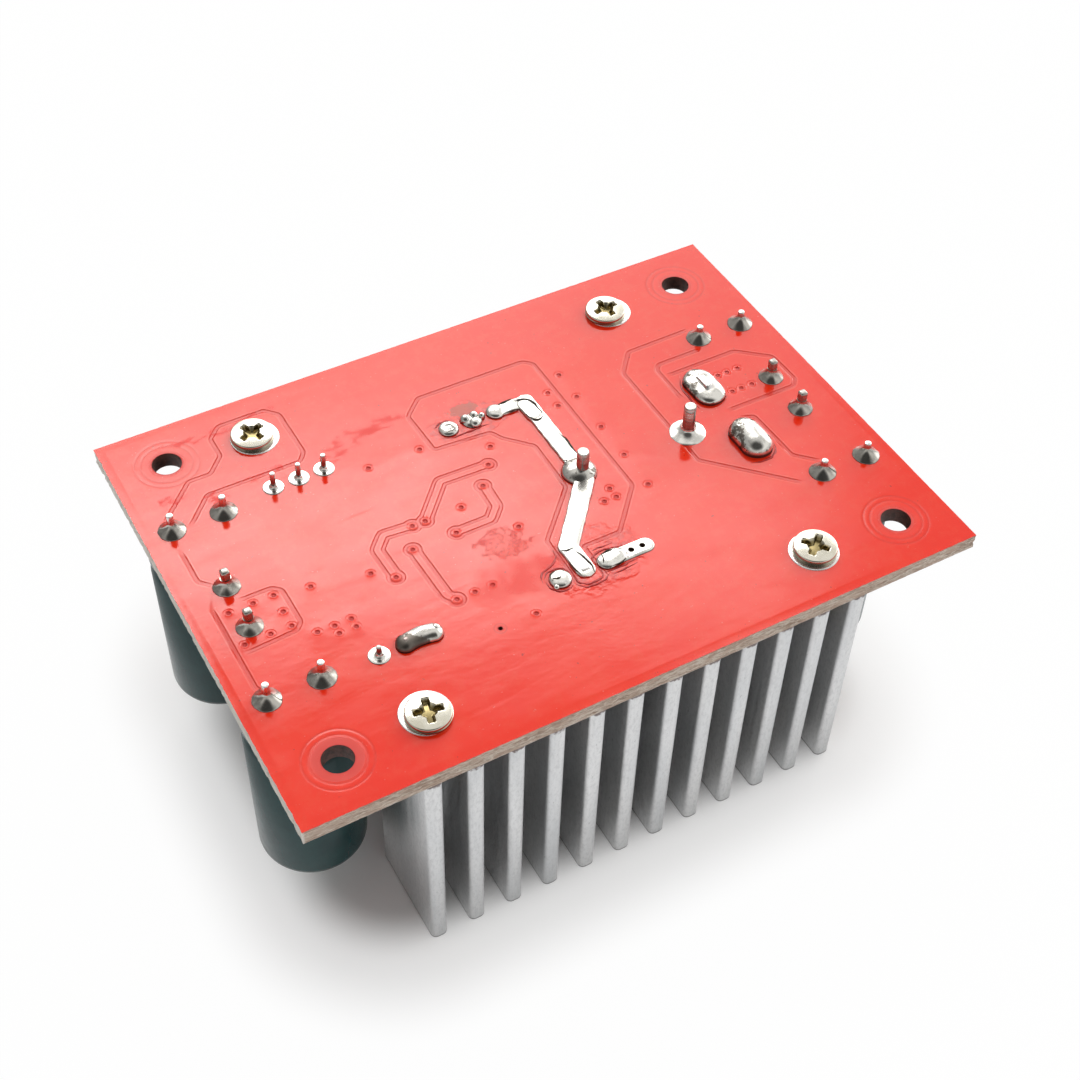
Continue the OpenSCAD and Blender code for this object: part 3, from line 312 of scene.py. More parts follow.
def board_mask():
    """Glossy red solder mask over copper, with clouds, flux, scuffs, the thin dark lines at copper edges and a
    painted highlight beside them.
    """
    g = Graph("red_mask")
    low, lit, edge, dark, dull = (g.attribute(mark) for mark in ("low", "lit", "edge", "dark", "dull"))
    cloud = g.patches(9, 4, 0.55, 0.3, 0.7)
    streak = g.patches(1.0, 4, 0.6, 0.60, 0.8, 0.0, 0.25, (0.16, 1.0, 1.0))
    mottle = g.patches(1.3, 5, 0.7, 0.44, 0.66, 0.0, 0.42)
    dust = g.patches(0.26, 2, 0.4, 0.73, 0.80, 0.0, 0.40)
    flux = g.most(g.spot((1.2, -10.0), 4.0, 1.8, 1.8, 1.3), g.spot((-0.6, 11.0), 2.6, 1.2, 1.3, 1.6))
    brown = g.times(flux, g.patches(0.9, 4, 0.6, 0.46, 0.60, 0.0, 0.55))
    tear = g.around((-5.2, -4.5), 2.2, 0.8, 1.2)
    torn = g.ramp(tear, 1.5 * MM, 1.6 * MM, 1.0, 0.0)
    border = g.times(g.ramp(tear, 1.30 * MM, 1.55 * MM), g.ramp(tear, 1.60 * MM, 1.85 * MM, 1.0, 0.0))
    scab = g.times(torn, g.patches(0.35, 4, 0.55, 0.52, 0.64))
    stain = g.spot((-0.25, 12.65), 0.85, 0.35, 0.5, 1.9)
    speck = g.patches(0.42, 2, 0.4, 0.76, 0.80, 0.0, 0.65)
    smear = g.times(g.most(0.0, *(g.spot(*patch) for patch in SMEARS)),
                    g.patches(0.9, 6, 0.72, 0.42, 0.60, stretch=(0.5, 1.0, 1.0)))
    soft = g.ramp(g.around(*BROAD_SMEAR), 0.6 * MM, 3.0 * MM, 0.62, 0.0)
    smear = g.most(smear, g.times(soft, g.patches(1.6, 5, 0.6, 0.25, 0.55, 0.35, 1.0)))
    scuff = g.patches(0.9, 4, 0.65, 0.62, 0.74, stretch=(0.12, 1.0, 1.0))
    colour = g.layers(
        (0.97, 0.030, 0.005), (cloud, (0.95, 0.021, 0.003)), (streak, (0.98, 0.10, 0.05)),
        (mottle, (0.96, 0.056, 0.020)), (dust, (0.98, 0.34, 0.28)), (g.times(low, 0.5), (0.80, 0.016, 0.005)),
        # lit is a painted highlight beside each copper edge
        (g.times(lit, 0.45), (0.99, 0.15, 0.11)), (g.times(edge, 0.78), (0.66, 0.016, 0.004)),
        (dark, (0.50, 0.004, 0.001)), (brown, (0.60, 0.008, 0.006)), (g.times(torn, 0.18), (0.74, 0.04, 0.03)),
        (g.times(scab, 0.30), (0.95, 0.30, 0.26)), (g.times(border, 0.65), (0.70, 0.010, 0.008)),
        (g.times(stain, 0.7), (0.44, 0.09, 0.05)), (speck, (0.30, 0.02, 0.015)),
        (g.times(smear, 0.55), (0.90, 0.008, 0.006)))
    sheen = g.patches(2.2, 4, 0.6, 0.3, 0.75, 0.075, 0.15, (0.4, 1.0, 1.0))
    rough = g.total((sheen, 1.0), (torn, 0.04), (border, 0.25), (scab, 0.15), (stain, 0.15), (smear, 0.34),
                    (scuff, 0.12), (dull, 0.05), (dark, 0.45), (edge, 0.08))
    fine, broad = g.noise(0.3, 3, 0.6), g.noise(3.6, 4, 0.5, (0.6, 1.0, 1.0))
    ripple = g.noise(1.1, 3, 0.5, (0.5, 1.0, 1.0))
    wet = g.times(flux, g.noise(0.7, 3, 0.5, None, 0.6))
    height = g.total((fine, 0.09), (broad, 0.5), (ripple, 0.18), (wet, 0.9), (scab, 0.3))
    return g.finish(height, 0.03, Base_Color=colour, Roughness=rough)


def plain_mask():
    """Red solder mask of the component side."""
    g = Graph("red_mask_under")
    cloud = g.patches(7, 4, 0.55, 0.3, 0.7)
    return g.finish(g.noise(1.2, 3, 0.5), 0.02, Base_Color=g.mix(cloud, (0.80, 0.034, 0.028), (0.70, 0.024, 0.020)),
                    Roughness=g.patches(0.25, 3, 0.55, 0.3, 0.7, 0.22, 0.32))


def cut_laminate():
    """Sawn edge of the board: glass cloth in pink-tan resin, with pale torn fibres."""
    g = Graph("cut_laminate")
    cloth = g.patches(0.16, 3, 0.6, 0.40, 0.66, stretch=(0.05, 0.05, 1.0))
    fibres = g.patches(0.15, 4, 0.7, 0.45, 0.62, 0.0, 0.75, (0.16, 0.16, 1.0))
    torn = g.along(0, -HALF_L + 0.02, -HALF_L + 0.3, 0.75, 0.0)
    burnt = g.patches(0.5, 3, 0.6, 0.62, 0.76, 0.0, 0.5, (0.25, 0.25, 1.0))
    upper = g.along(2, TOP - 0.20, TOP - 0.05, 0.0, 0.75)
    colour = g.layers((0.58, 0.44, 0.36), (cloth, (0.36, 0.25, 0.19)), (fibres, (0.82, 0.75, 0.67)),
                      (torn, (0.88, 0.86, 0.82)), (burnt, (0.22, 0.14, 0.10)), (upper, (0.80, 0.10, 0.08)))
    return g.finish(g.noise(0.14, 3, 0.7), 0.05, Base_Color=colour, Roughness=0.8)


def aluminium():
    """Extruded aluminium: fine drawn lines along the fins, dull patches and nicks, tops under the board dark brown
    with dirt and painted shade, and a painted contact shadow at the feet.
    """
    g = Graph("extruded_aluminium")
    lines = g.noise(0.22, 4, 0.65, (1.0, 1.0, 0.02))
    broad = g.patches(3.0, 4, 0.6, 0.3, 0.7, stretch=(1.0, 1.0, 0.15))
    grain = g.patches(0.28, 4, 0.7, 0.42, 0.68, 0.0, 0.45, (1.0, 1.0, 0.45))
    nick = g.patches(0.5, 5, 0.7, 0.64, 0.70, 0.0, 0.5, (1.0, 1.0, 0.35))
    # Top ends under the board: dirt, and painted shade from the board above them
    top_dirt_and_shade = g.ramp(g.uneven(g.axis(2), 1.2 * MM, 0.5, 4, 0.6), (UNDER - 1.15) * MM, (UNDER - 0.85) * MM)
    # Painted contact shadow along the feet that stand on the floor
    foot = g.along(2, 0.06, 0.26, 0.8, 0.0)
    colour = g.layers((0.76, 0.76, 0.76), (broad, (0.64, 0.65, 0.66)), (grain, (0.50, 0.505, 0.51)),
                      (nick, (0.30, 0.30, 0.30)), (g.times(top_dirt_and_shade, 0.85), (0.13, 0.085, 0.075)),
                      (foot, (0.07, 0.065, 0.06)))
    return g.finish(g.total((lines, 0.7), (grain, 0.4)), 0.02, Base_Color=colour, Metallic=1.0,
                    Roughness=g.ramp(lines, 0.25, 0.75, 0.34, 0.52))


def sleeve_film():
    """Shrunk film of the capacitor sleeves, dark green with faint ripples."""
    g = Graph("sleeve_film")
    cloud = g.patches(3.5, 4, 0.6, 0.3, 0.7)
    creases = g.noise(0.7, 3, 0.5, (1.0, 1.0, 0.3), 0.4)
    return g.finish(g.total((g.noise(2.0, 2, 0.4), 1.0), (creases, 0.35)), 0.025, Specular_IOR_Level=0.28,
                    Base_Color=g.mix(cloud, (0.012, 0.058, 0.060), (0.008, 0.043, 0.046)),
                    Roughness=g.patches(1.5, 3, 0.5, 0.3, 0.7, 0.18, 0.26))


def solder(name, smooth, dull):
    """Solder with bright and grey patches, a dark line at its foot that is partly the mask's edge and partly painted
    shade, and burnt flux in places, laid darker as painted shade on one side of some mounds.
    """
    g = Graph(name)
    patches = g.patches(1.3, 4, 0.6, 0.44, 0.64)
    grey = g.mix(patches, (0.42, 0.40, 0.365), (0.27, 0.255, 0.23))
    burnt = g.ramp(g.uneven(g.attribute("burnt"), 1.9, 0.55, 5, 0.7), 0.54, 0.64)
    foot = g.attribute("foot")
    colour = g.layers((0.78, 0.77, 0.73), (patches, (0.56, 0.55, 0.52)), (g.attribute("tone"), grey),
                      (g.times(burnt, 0.85), (0.075, 0.058, 0.045)), (g.times(foot, 0.85), (0.05, 0.022, 0.016)))
    rough = g.total((g.ramp(patches, 0.0, 1.0, smooth, dull), 1.0), (burnt, 0.25), (foot, 0.25))
    return g.finish(g.noise(0.45, 4, 0.55), 0.007, Base_Color=colour, Metallic=1.0, Roughness=rough)


def enamel():
    """Copper wire under clear brown enamel, tinned where it passes the board, with painted shade on the tin towards
    the joint.
    """
    g = Graph("enamelled_copper")
    copper = g.mix(g.patches(1.6, 4, 0.6, 0.3, 0.7), (0.62, 0.19, 0.07), (0.48, 0.12, 0.045))
    marks = g.noise(0.3, 3, 0.6, (0.2, 0.2, 1.0))
    tin = g.mix(g.ramp(marks, 0.4, 0.65), (0.62, 0.60, 0.57), (0.34, 0.32, 0.30))
    colour = g.mix(g.along(2, UNDER - 1.2, UNDER - 0.6), copper, g.shaded_towards_joint(tin, 0.7, 1.0, 3.1))
    return g.finish(marks, 0.03, Base_Color=colour, Metallic=0.92, Coat_Weight=0.3, Coat_Roughness=0.1,
                    Roughness=g.patches(0.3, 3, 0.55, 0.3, 0.7, 0.16, 0.26))


def core_paint():
    """Powder paint of the ring core: yellow, with one pale face."""
    g = Graph("core_paint")
    colour = g.layers((0.80, 0.52, 0.06), (g.along(0, COIL_X + 4.9, COIL_X + 5.1), (0.78, 0.76, 0.68)),
                      (g.patches(1.0, 4, 0.55, 0.5, 0.75, 0.0, 0.3), (0.55, 0.38, 0.08)))
    return g.finish(g.noise(0.35, 3, 0.6), 0.04, Base_Color=colour, Roughness=0.55)


def banded(name, body, middles, half, axis_index, rough):
    """Chip parts with metal ends: bodies of a half length around their middles along one axis."""
    g = Graph(name)
    place = g.axis(axis_index)
    bands = [g.times(g.maths("GREATER_THAN", place, (middle - half) * MM),
                     g.maths("LESS_THAN", place, (middle + half) * MM)) for middle in middles]
    inside = g.maths("ADD", 0.0, *bands, clamp=True)
    grain = g.noise(0.15, 3, 0.6)
    colour = g.mix(g.ramp(grain, 0.3, 0.7), body, tuple(c * 0.75 for c in body))
    return g.finish(grain, 0.01, Base_Color=g.mix(inside, (0.74, 0.73, 0.71), colour), Metallic=g.less(1.0, inside),
                    Roughness=g.ramp(g.total((inside, 1.0), (grain, 0.2)), 0.0, 1.2, 0.22, rough))


MASK = board_mask()
MASK_UNDER = plain_mask()
LAMINATE = cut_laminate()
# Walls of the drilled holes, much darker than the sawn edge: painted shade inside the holes
HOLE_WALL = plastic("shaded_drilled_laminate", (0.15, 0.052, 0.036), (0.05, 0.018, 0.013), 0.6, 0.2, 0.02, 0.5)
ALUMINIUM = aluminium()
NICKEL = screw_nickel()
TINNED = (0.80, 0.79, 0.78), (0.60, 0.59, 0.58), 0.22, 0.12
TIN = metal("tinned_copper", *TINNED, depth=0.006, patch=0.5)
LEAD_TIN = metal("lead_tin", *TINNED, depth=0.006, patch=0.5, lead=True)
PIN_TIN = metal("pin_tin", (0.46, 0.44, 0.41), (0.30, 0.28, 0.26), 0.26, 0.15, depth=0.006, patch=0.5, lead=True)
ZINC = metal("zinc_steel", (0.70, 0.71, 0.73), (0.52, 0.53, 0.56), 0.28, 0.2)
CAN = metal("can_aluminium", (0.82, 0.82, 0.83), (0.70, 0.70, 0.72), 0.24, 0.2, stretch=(1, 1, 0.1))
BRASS = metal("clamp_brass", (0.78, 0.60, 0.30), (0.60, 0.44, 0.20), 0.26, 0.2)
SLEEVE = sleeve_film()
SOLDER = solder("solder", 0.12, 0.20)
STRIP_SOLDER = solder("strip_solder", 0.24, 0.32)
ENAMEL = enamel()
CORE_PAINT = core_paint()
RUBBER = plastic("seal_rubber", (0.020, 0.019, 0.018), (0.030, 0.028, 0.026), 0.7)
EPOXY = plastic("black_epoxy", (0.018, 0.018, 0.019), (0.030, 0.030, 0.031), 0.5)
BLOCK_GREEN = plastic("block_plastic", (0.030, 0.28, 0.085), (0.024, 0.22, 0.068), 0.38)
TRIMMER_BLUE = plastic("trimmer_plastic", (0.025, 0.11, 0.48), (0.020, 0.085, 0.38), 0.36)
FUSE_BLUE = plastic("fuse_plastic", (0.03, 0.24, 0.62), (0.025, 0.19, 0.52), 0.22, 0.3, 0.003)
RIDGE_RED = plastic("raised_mask", (0.62, 0.014, 0.010), (0.42, 0.010, 0.008), 0.14, 0.3, 0.01, 0.8)
SEAM_BROWN = plastic("dark_seam", (0.05, 0.028, 0.016), (0.03, 0.018, 0.010), 0.62, 0.3, 0.004, 0.6)
BAND_PRINT = plastic("sleeve_print", (0.42, 0.48, 0.44), (0.34, 0.40, 0.37), 0.34)


# Mesh helpers

class Shell:
    """Collects rings of points in millimetres, with marks for the shader, and turns them into one mesh object."""

    def __init__(self):
        self.points, self.faces = [], []
        self.burnt, self.foot, self.tone = [], [], []

    def add(self, points, burnt=0.0, foot=0.0, tone=0.0):
        self.points.extend(points)
        for marks, value in ((self.burnt, burnt), (self.foot, foot), (self.tone, tone)):
            marks.extend([value] * len(points))

    def loft(self, rings, cap_first=True, cap_last=True, burnt=0.0, foot=0, tone=0.0):
        """Skins rings of equal length, each closed around, with flat ends where asked; marks the first rings."""
        base, count = len(self.points), len(rings[0])
        for row, ring in enumerate(rings):
            self.add(ring, burnt, 1.0 if row < foot else 0.0, tone)
        last = base + (len(rings) - 1) * count
        for first in range(base, last, count):
            for k in range(count):
                a, b = first + k, first + (k + 1) % count
                self.faces.append((a, b, b + count, a + count))
        if cap_first:
            self.faces.append(tuple(base + k for k in reversed(range(count))))
        if cap_last:
            self.faces.append(tuple(last + k for k in range(count)))

    def make(self, name, material, sharp):
        mesh = bpy.data.meshes.new(name)
        mesh.from_pydata([Vector(p) * MM for p in self.points], [], self.faces)
        for mark, values in (("burnt", self.burnt), ("foot", self.foot), ("tone", self.tone)):
            mesh.attributes.new(mark, "FLOAT", "POINT").data.foreach_set("value", values)
        return dress(mesh, name, [material], ROOT, sharp)


def place(name, data):
    """New object in the scene."""
    obj = bpy.data.objects.new(name, data)
    bpy.context.scene.collection.objects.link(obj)
    return obj


def dress(mesh, name, materials, body, sharp):
    """Makes a smooth-shaded object of a mesh and lets it ride on a body."""
    for material in materials:
        mesh.materials.append(material)
    mesh.polygons.foreach_set("use_smooth", [True] * len(mesh.polygons))
    mesh.set_sharp_from_angle(angle=math.radians(sharp))
    mesh.validate()
    mesh.update()
    obj = place(name, mesh)
    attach(obj, body)
    return obj


def compass(count, start=0.0):
    """Cosine and sine of ways evenly around."""
    return [(math.cos(a), math.sin(a)) for a in (2 * math.pi * (k + start) / count for k in range(count))]


def circle(x, y, r, count, z=None):
    """Points of a circle, flat or at a height."""
    flat = [(x + r * c, y + r * q) for c, q in compass(count)]
    return flat if z is None else [(*p, z) for p in flat]


# Share of a side that a rounded corner may take
LONGEST = 0.45


def fillet(points, radius, steps):
    """Rounds the corners of an open path."""
    out = [Vector(points[0])]
    for i in range(1, len(points) - 1):
        p, before, after = Vector(points[i]), Vector(points[i - 1]), Vector(points[i + 1])
        reach = min(radius, (p - before).length * LONGEST, (after - p).length * LONGEST)
        a, b = (p + (q - p).normalized() * reach for q in (before, after))
        for k in range(steps + 1):
            t = k / steps
            out.append(a * (1 - t) ** 2 + p * 2 * t * (1 - t) + b * t ** 2)
    out.append(Vector(points[-1]))
    return out


def heading(path, i):
    """Way of a path at one of its points."""
    return (path[min(i + 1, len(path) - 1)] - path[max(i - 1, 0)]).normalized()


def shifted(path, distance):
    """Path moved to its left by distance, with mitred corners."""
    out = []
    for i, p in enumerate(path):
        ahead = path[min(i + 1, len(path) - 1)] - p
        behind = p - path[max(i - 1, 0)]
        ahead = ahead.normalized() if ahead.length > 1e-9 else behind.normalized()
        behind = behind.normalized() if behind.length > 1e-9 else ahead
        left = Vector((-ahead.y - behind.y, ahead.x + behind.x)).normalized()
        stretch = 1 / max(0.5, left.dot(Vector((-ahead.y, ahead.x))))
        out.append(p + left * distance * stretch)
    return out


def lumpy(x, y, z, size, amount):
    """Smooth seeded noise at a place, within plus or minus amount."""
    return amount * noise.noise(Vector((x, y, z)) / size)


# Board

# Copper under the mask: thickness, bare rim, grooves, and the lines beside an edge of copper
COPPER_T = 0.035
RIM_W, RIM_SLOPE = 0.5, 0.25
GROOVE_W = 0.36
GUARD, SLOPE, SHOULDER = 0.12, 0.045, 0.26
# Vias: radius and height of each step, and how dark the inner steps are
VIA_STEPS = ((0.07, -0.06), (0.15, -0.065), (0.24, -0.004), (0.32, 0.0), (0.46, -0.012), (0.56, 0.003), (0.70, 0.0))
VIA_DARK = (0.70, 0.95, 0.45, 0.0)

POUR_GROOVES = (
    ((-1.6, -12.6), (-1.5, -6.2), (3.4, -1.1), (3.5, 5.0), (1.2, 7.4), (0.6, 8.6), (-5.2, 9.0), (-5.4, 14.2),
     (-3.4, 16.1), (8.2, 16.0), (9.0, 15.2), (9.0, -3.8), (4.9, -8.3), (1.1, -8.3), (1.1, -12.6)),
    ((-31.0, 8.0), (-31.0, 4.0), (-29.9, 2.9)),
    ((-28.7, 0.35), (-25.6, 0.35), (-24.85, -0.3), (-24.85, -4.4), (-25.5, -5.1), (-30.5, -5.4)),
    ((-31.1, 0.5), (-31.1, -9.3), (-30.4, -10.0)),
    ((-29.0, 10.6), (-26.3, 13.5), (-17.0, 13.5), (-16.2, 14.5), (-16.2, 20.3), (-17.3, 21.5), (-22.0, 21.5),
     (-23.3, 20.2), (-23.3, 17.7), (-25.0, 15.9), (-27.2, 15.9), (-31.0, 12.0)),
    ((25.5, 12.4), (18.3, 12.3), (16.2, 9.8), (16.2, -3.9), (23.3, -11.0)),
    ((25.0, 9.3), (20.0, 9.3), (19.4, 8.6), (19.4, 4.0)),
    ((19.9, 7.5), (27.8, 7.5), (30.8, 5.0), (30.9, 1.2), (30.2, 0.45), (22.5, 0.5)),
    ((23.0, -0.8), (24.3, -1.4), (24.5, -7.5), (26.5, -9.5)),
)
TRACKS = (
    ((-1.6, 4.85), (-6.6, 5.0), (-10.1, 1.15)),
    ((-11.4, 1.15), (-14.2, 1.4), (-15.5, 0.0), (-15.4, -3.7)),
    ((-12.65, -1.45), (-12.45, -7.7), (-11.85, -8.5)),
    ((-8.25, -1.45), (-4.7, -1.45), (-3.5, -0.2), (-3.35, 2.65)),
)
TRACK_HALF, TRACK_GAP, TRACK_END_R = 0.34, 0.32, 0.52
VIAS = (
    (-30.0, -0.6), (-27.7, -0.55), (-25.75, -0.55), (-25.75, -2.65), (-30.1, -4.5), (-27.7, -4.45),
    (-25.75, -4.45), (-22.5, -1.15), (-17.2, -2.25), (-15.4, -3.7), (-24.1, -6.15), (-22.5, -6.2),
    (-20.9, -6.15), (-22.5, -7.15), (-20.9, -7.15), (-11.75, 9.7), (-6.4, 9.7), (-0.3, 6.9), (-1.6, 4.85),
    (-3.35, 2.65), (-6.4, 1.15), (-8.25, -1.45), (-12.65, -1.45), (-11.4, 1.15), (-10.1, 1.15), (-2.9, -3.45),
    (-11.85, -8.5), (-10.05, -8.5), (-8.3, -8.5), (-6.5, -13.2), (5.6, -4.4), (6.9, -4.4), (6.9, -3.2),
    (8.2, 10.85), (8.2, 8.8), (10.45, 12.6), (10.45, 9.05), (10.4, 4.3), (10.4, 0.0), (10.35, -4.4),
    (24.4, 5.15), (25.45, 5.15), (26.7, 5.15), (24.4, 2.55), (25.45, 2.55), (26.7, 2.55),
)
# Grooves fade out between these distances from their ends
END_FADE = (0.46, 0.72)
# The open via: radius of each step, dark, edge; the rings at the mounts: offset, height, shade
OPEN_VIA = (-10.05, -13.2)
OPEN_STEPS = ((0.2, 0.9, 0.0), (0.29, 0.35, 0.0), (0.40, 0.0, 0.0), (0.55, 0.0, 0.75), (0.68, 0.0, 0.0))
RINGS = (2.42, 3.02)
RING_STEPS = ((-0.27, 0.0, 0.0), (-0.19, 0.0, 0.0), (-0.09, -0.004, 0.6), (0.0, -0.009, 1.0), (0.09, -0.004, 0.6),
              (0.19, 0.0, 0.0), (0.27, 0.0, 0.0))
HOLE_STAIN = ((0.0, 0.75), (0.14, 0.30), (0.40, 0.08), (0.70, 0.0))
CORNER_STAIN = ((0.0, 0.75), (0.14, 0.48), (0.70, 0.40), (0.93, 0.12), (1.02, 0.0))
# Drilled holes: places, radius, corners of each loop
DRILLS = (
    (MOUNTS, MOUNT_R, 40), (CLIPS, 1.42, 28), (CAP_LEADS, 0.45, 14), (OUTPUT_PINS + INPUT_PINS, 0.686, 16),
    (REAR_TRIMMER_PINS + FRONT_TRIMMER_PINS, 0.37, 12), (RECTIFIER_PINS + TRANSISTOR_PINS, 0.52, 14),
    ((COIL_A, COIL_B), 0.72, 18), (SPARE_HOLES, SPARE_R, 14), ((OPEN_VIA,), 0.2, 14),
)
BLADE_SLOT = (0.495, 1.42)
# Sawn edge: depth at the torn end and elsewhere, size of its waves, whole length at corners, rows of points
TORN, SAWN, SAW_WAVE, WHOLE, EDGE_ROWS = 0.16, 0.05, 0.6, 0.3, 5
# Depth of its lower rows and how far it swings, and how near the outline a point counts as part of it
EDGE_DEPTH, EDGE_SWING, OUTLINE_NEAR = 0.05, 0.12, 0.2
GROOVE_BEND, TRACK_BEND = 0.3, 0.2
MASK_SLOT, EDGE_SLOT, UNDER_SLOT, HOLE_SLOT = range(4)


class Drawing:
    """Points and edges that flat triangles have to follow."""

    def __init__(self):
        self.points, self.edges = [], []

    def line(self, path, closed=False):
        base, count = len(self.points), len(path)
        self.points += [Vector((p[0], p[1])) for p in path]
        self.edges += [(base + k, base + (k + 1) % count) for k in range(count if closed else count - 1)]

    def circles(self, x, y, radii, count):
        for r in radii:
            self.line(circle(x, y, r, count), True)

    def triangles(self, kind):
        flat, _, triangles, _, _, _ = delaunay_2d_cdt(self.points, self.edges, [], kind, 1e-5)
        return flat, triangles


def drilled_holes():
    """Each hole of the board as a closed loop of points."""
    loops = [circle(x, y, r, count) for places, r, count in DRILLS for x, y in places]
    return loops + [box_loop(*BLADE_SLOT, x, y) for x, y in (FUSE_REAR, FUSE_FRONT)]


def outer_edge(step=0.25):
    """The board's outline, sawn a little unevenly, and the way inwards at each point."""
    ends = [Vector(p) for p in box_loop(HALF_L, HALF_W)]
    points, inward = [], []
    for i, start in enumerate(ends):
        run = ends[(i + 1) % 4] - start
        way = run.normalized()
        into = Vector((-way.y, way.x))
        count = int(run.length / step)
        for k in range(count):
            p = start + run * (k / count)
            rough = max(0.0, lumpy(p.x, p.y, 3.0, SAW_WAVE, 1.0)) if min(k, count - k) * step > WHOLE else 0.0
            points.append(p + into * ((TORN if i == 3 else SAWN) * rough))
            inward.append(into if k else (into + (-start).normalized()).normalized())
    return points, inward


def distance_to_path(points, path):
    best = np.full(len(points), 1e9)
    for a, b in zip(path[:-1], path[1:]):
        dx, dy = b.x - a.x, b.y - a.y
        t = np.clip(((points[:, 0] - a.x) * dx + (points[:, 1] - a.y) * dy) / max(dx * dx + dy * dy, 1e-12), 0, 1)
        best = np.minimum(best, np.hypot(points[:, 0] - a.x - t * dx, points[:, 1] - a.y - t * dy))
    return best


def inside_loop(points, loop):
    """Which of the points lie inside a closed loop."""
    ring = np.array(loop)
    inside = np.zeros(len(points), bool)
    for a, b in zip(ring, np.roll(ring, -1, 0)):
        crosses = (a[1] > points[:, 1]) != (b[1] > points[:, 1])
        with np.errstate(divide="ignore", invalid="ignore"):
            at = a[0] + (points[:, 1] - a[1]) * (b[0] - a[0]) / (b[1] - a[1])
        inside ^= crosses & (points[:, 0] < at)
    return inside


def groove_path(points):
    """Middle line of a groove in the copper, with a point where each end begins to fade."""
    path = fillet(points, GROOVE_BEND, 3)
    path.insert(1, path[0] + (path[1] - path[0]).normalized() * END_FADE[1])
    path.insert(-1, path[-1] + (path[-2] - path[-1]).normalized() * END_FADE[1])
    return path


def flanks(inner):
    """Distances of the lines at both edges of a track's gap, which starts at inner."""
    return [edge + offset for edge, way in ((inner, -1), (inner + TRACK_GAP, 1))
            for offset in (-SLOPE, SLOPE, way * GUARD, way * SHOULDER)]


def board_lines(outline, holes, grooves, tracks):
    """All lines that the board's triangles follow."""
    drawing = Drawing()
    for loop in [outline] + holes:
        drawing.line(loop, True)
    for path in grooves:
        for side in (-1, 1):
            for offset in (SHOULDER, GUARD, SLOPE, -SLOPE):
                drawing.line(shifted(path, side * (GROOVE_W / 2 + offset)))
    for path in tracks:
        for side in (-1, 1):
            for offset in flanks(TRACK_HALF):
                drawing.line(shifted(path, side * offset))
        for x, y in (path[0], path[-1]):
            drawing.circles(x, y, flanks(TRACK_END_R), 20)
    for x, y in MOUNTS:
        for r in RINGS:
            drawing.circles(x, y, [r + offset for offset, _, _ in RING_STEPS], 48)
        drawing.circles(x, y, [MOUNT_R + offset for offset, _ in HOLE_STAIN[1:]], 40)
    for x, y in VIAS:
        drawing.circles(x, y, [r for r, _ in VIA_STEPS], 16)
    drawing.circles(*OPEN_VIA, [r for r, _, _ in OPEN_STEPS[1:]], 20)
    for offset in (-RIM_SLOPE, RIM_SLOPE, RIM_SLOPE + GUARD, RIM_SLOPE + 2 * GUARD):
        inset = RIM_W + offset
        drawing.line(box_loop(HALF_L - inset, HALF_W - inset), True)
    return drawing


def mask_relief(flat, grooves, tracks):
    """Height of the mask above the laminate, and the marks for its shader, at each point."""

    def away(x, y):
        return np.hypot(flat[:, 0] - x, flat[:, 1] - y)

    inset = np.minimum(HALF_L - np.abs(flat[:, 0]), HALF_W - np.abs(flat[:, 1]))
    rim = np.clip((inset - RIM_W + RIM_SLOPE) / (2 * RIM_SLOPE), 0, 1)
    covered = 1 - (inset < RIM_W).astype(float)
    into = np.full(len(flat), 1e9)
    faded = np.ones(len(flat))
    for path in grooves:
        near = np.minimum(away(*path[0]), away(*path[-1]))
        fade = np.clip((near - END_FADE[0]) / (END_FADE[1] - END_FADE[0]), 0, 1)
        into = np.minimum(into, distance_to_path(flat, path) - GROOVE_W / 2 * fade)
        faded = np.minimum(faded, fade)
    for path in tracks:
        body = distance_to_path(flat, path) - TRACK_HALF
        for end in (path[0], path[-1]):
            body = np.minimum(body, away(*end) - TRACK_END_R)
        into = np.minimum(into, np.maximum(-body, body - TRACK_GAP))
    raised = np.clip((into + SLOPE) / (2 * SLOPE), 0, 1)
    height = COPPER_T * np.minimum(raised, rim)
    edge = np.clip(1 - np.abs(into) / GUARD, 0, 1) * covered
    # Painted highlight on the mask just beside each copper edge
    lit = np.interp(into, (SLOPE, GUARD, SHOULDER), (0.0, 1.0, 0.0)) * covered * faded
    dark, dull = np.zeros(len(flat)), np.zeros(len(flat))
    offsets, rises, shades = zip(*RING_STEPS)
    for x, y in MOUNTS:
        far = away(x, y)
        dull = np.maximum(dull, far < RINGS[0])
        for stain in (HOLE_STAIN, CORNER_STAIN) if x < 0 and y < 0 else (HOLE_STAIN,):
            dark = np.maximum(dark, np.interp(far - MOUNT_R, *zip(*stain)))
        for r in RINGS:
            height += np.interp(far - r, offsets, rises)
            edge = np.maximum(edge, 0.5 * np.interp(far - r, offsets, shades))
    radii, depths = zip(*VIA_STEPS)
    for place in VIAS:
        far = away(*place)
        height += np.interp(far, radii, depths)
        dark = np.maximum(dark, np.interp(far, radii[:4], VIA_DARK))
    radii, darks, edges = zip(*OPEN_STEPS)
    far = away(*OPEN_VIA)
    dark = np.maximum(dark, np.interp(far, radii, darks))
    edge = np.maximum(edge, np.interp(far, radii, edges))
    return height, {"edge": edge, "lit": lit, "low": (1 - raised) * covered, "dark": dark, "dull": dull}


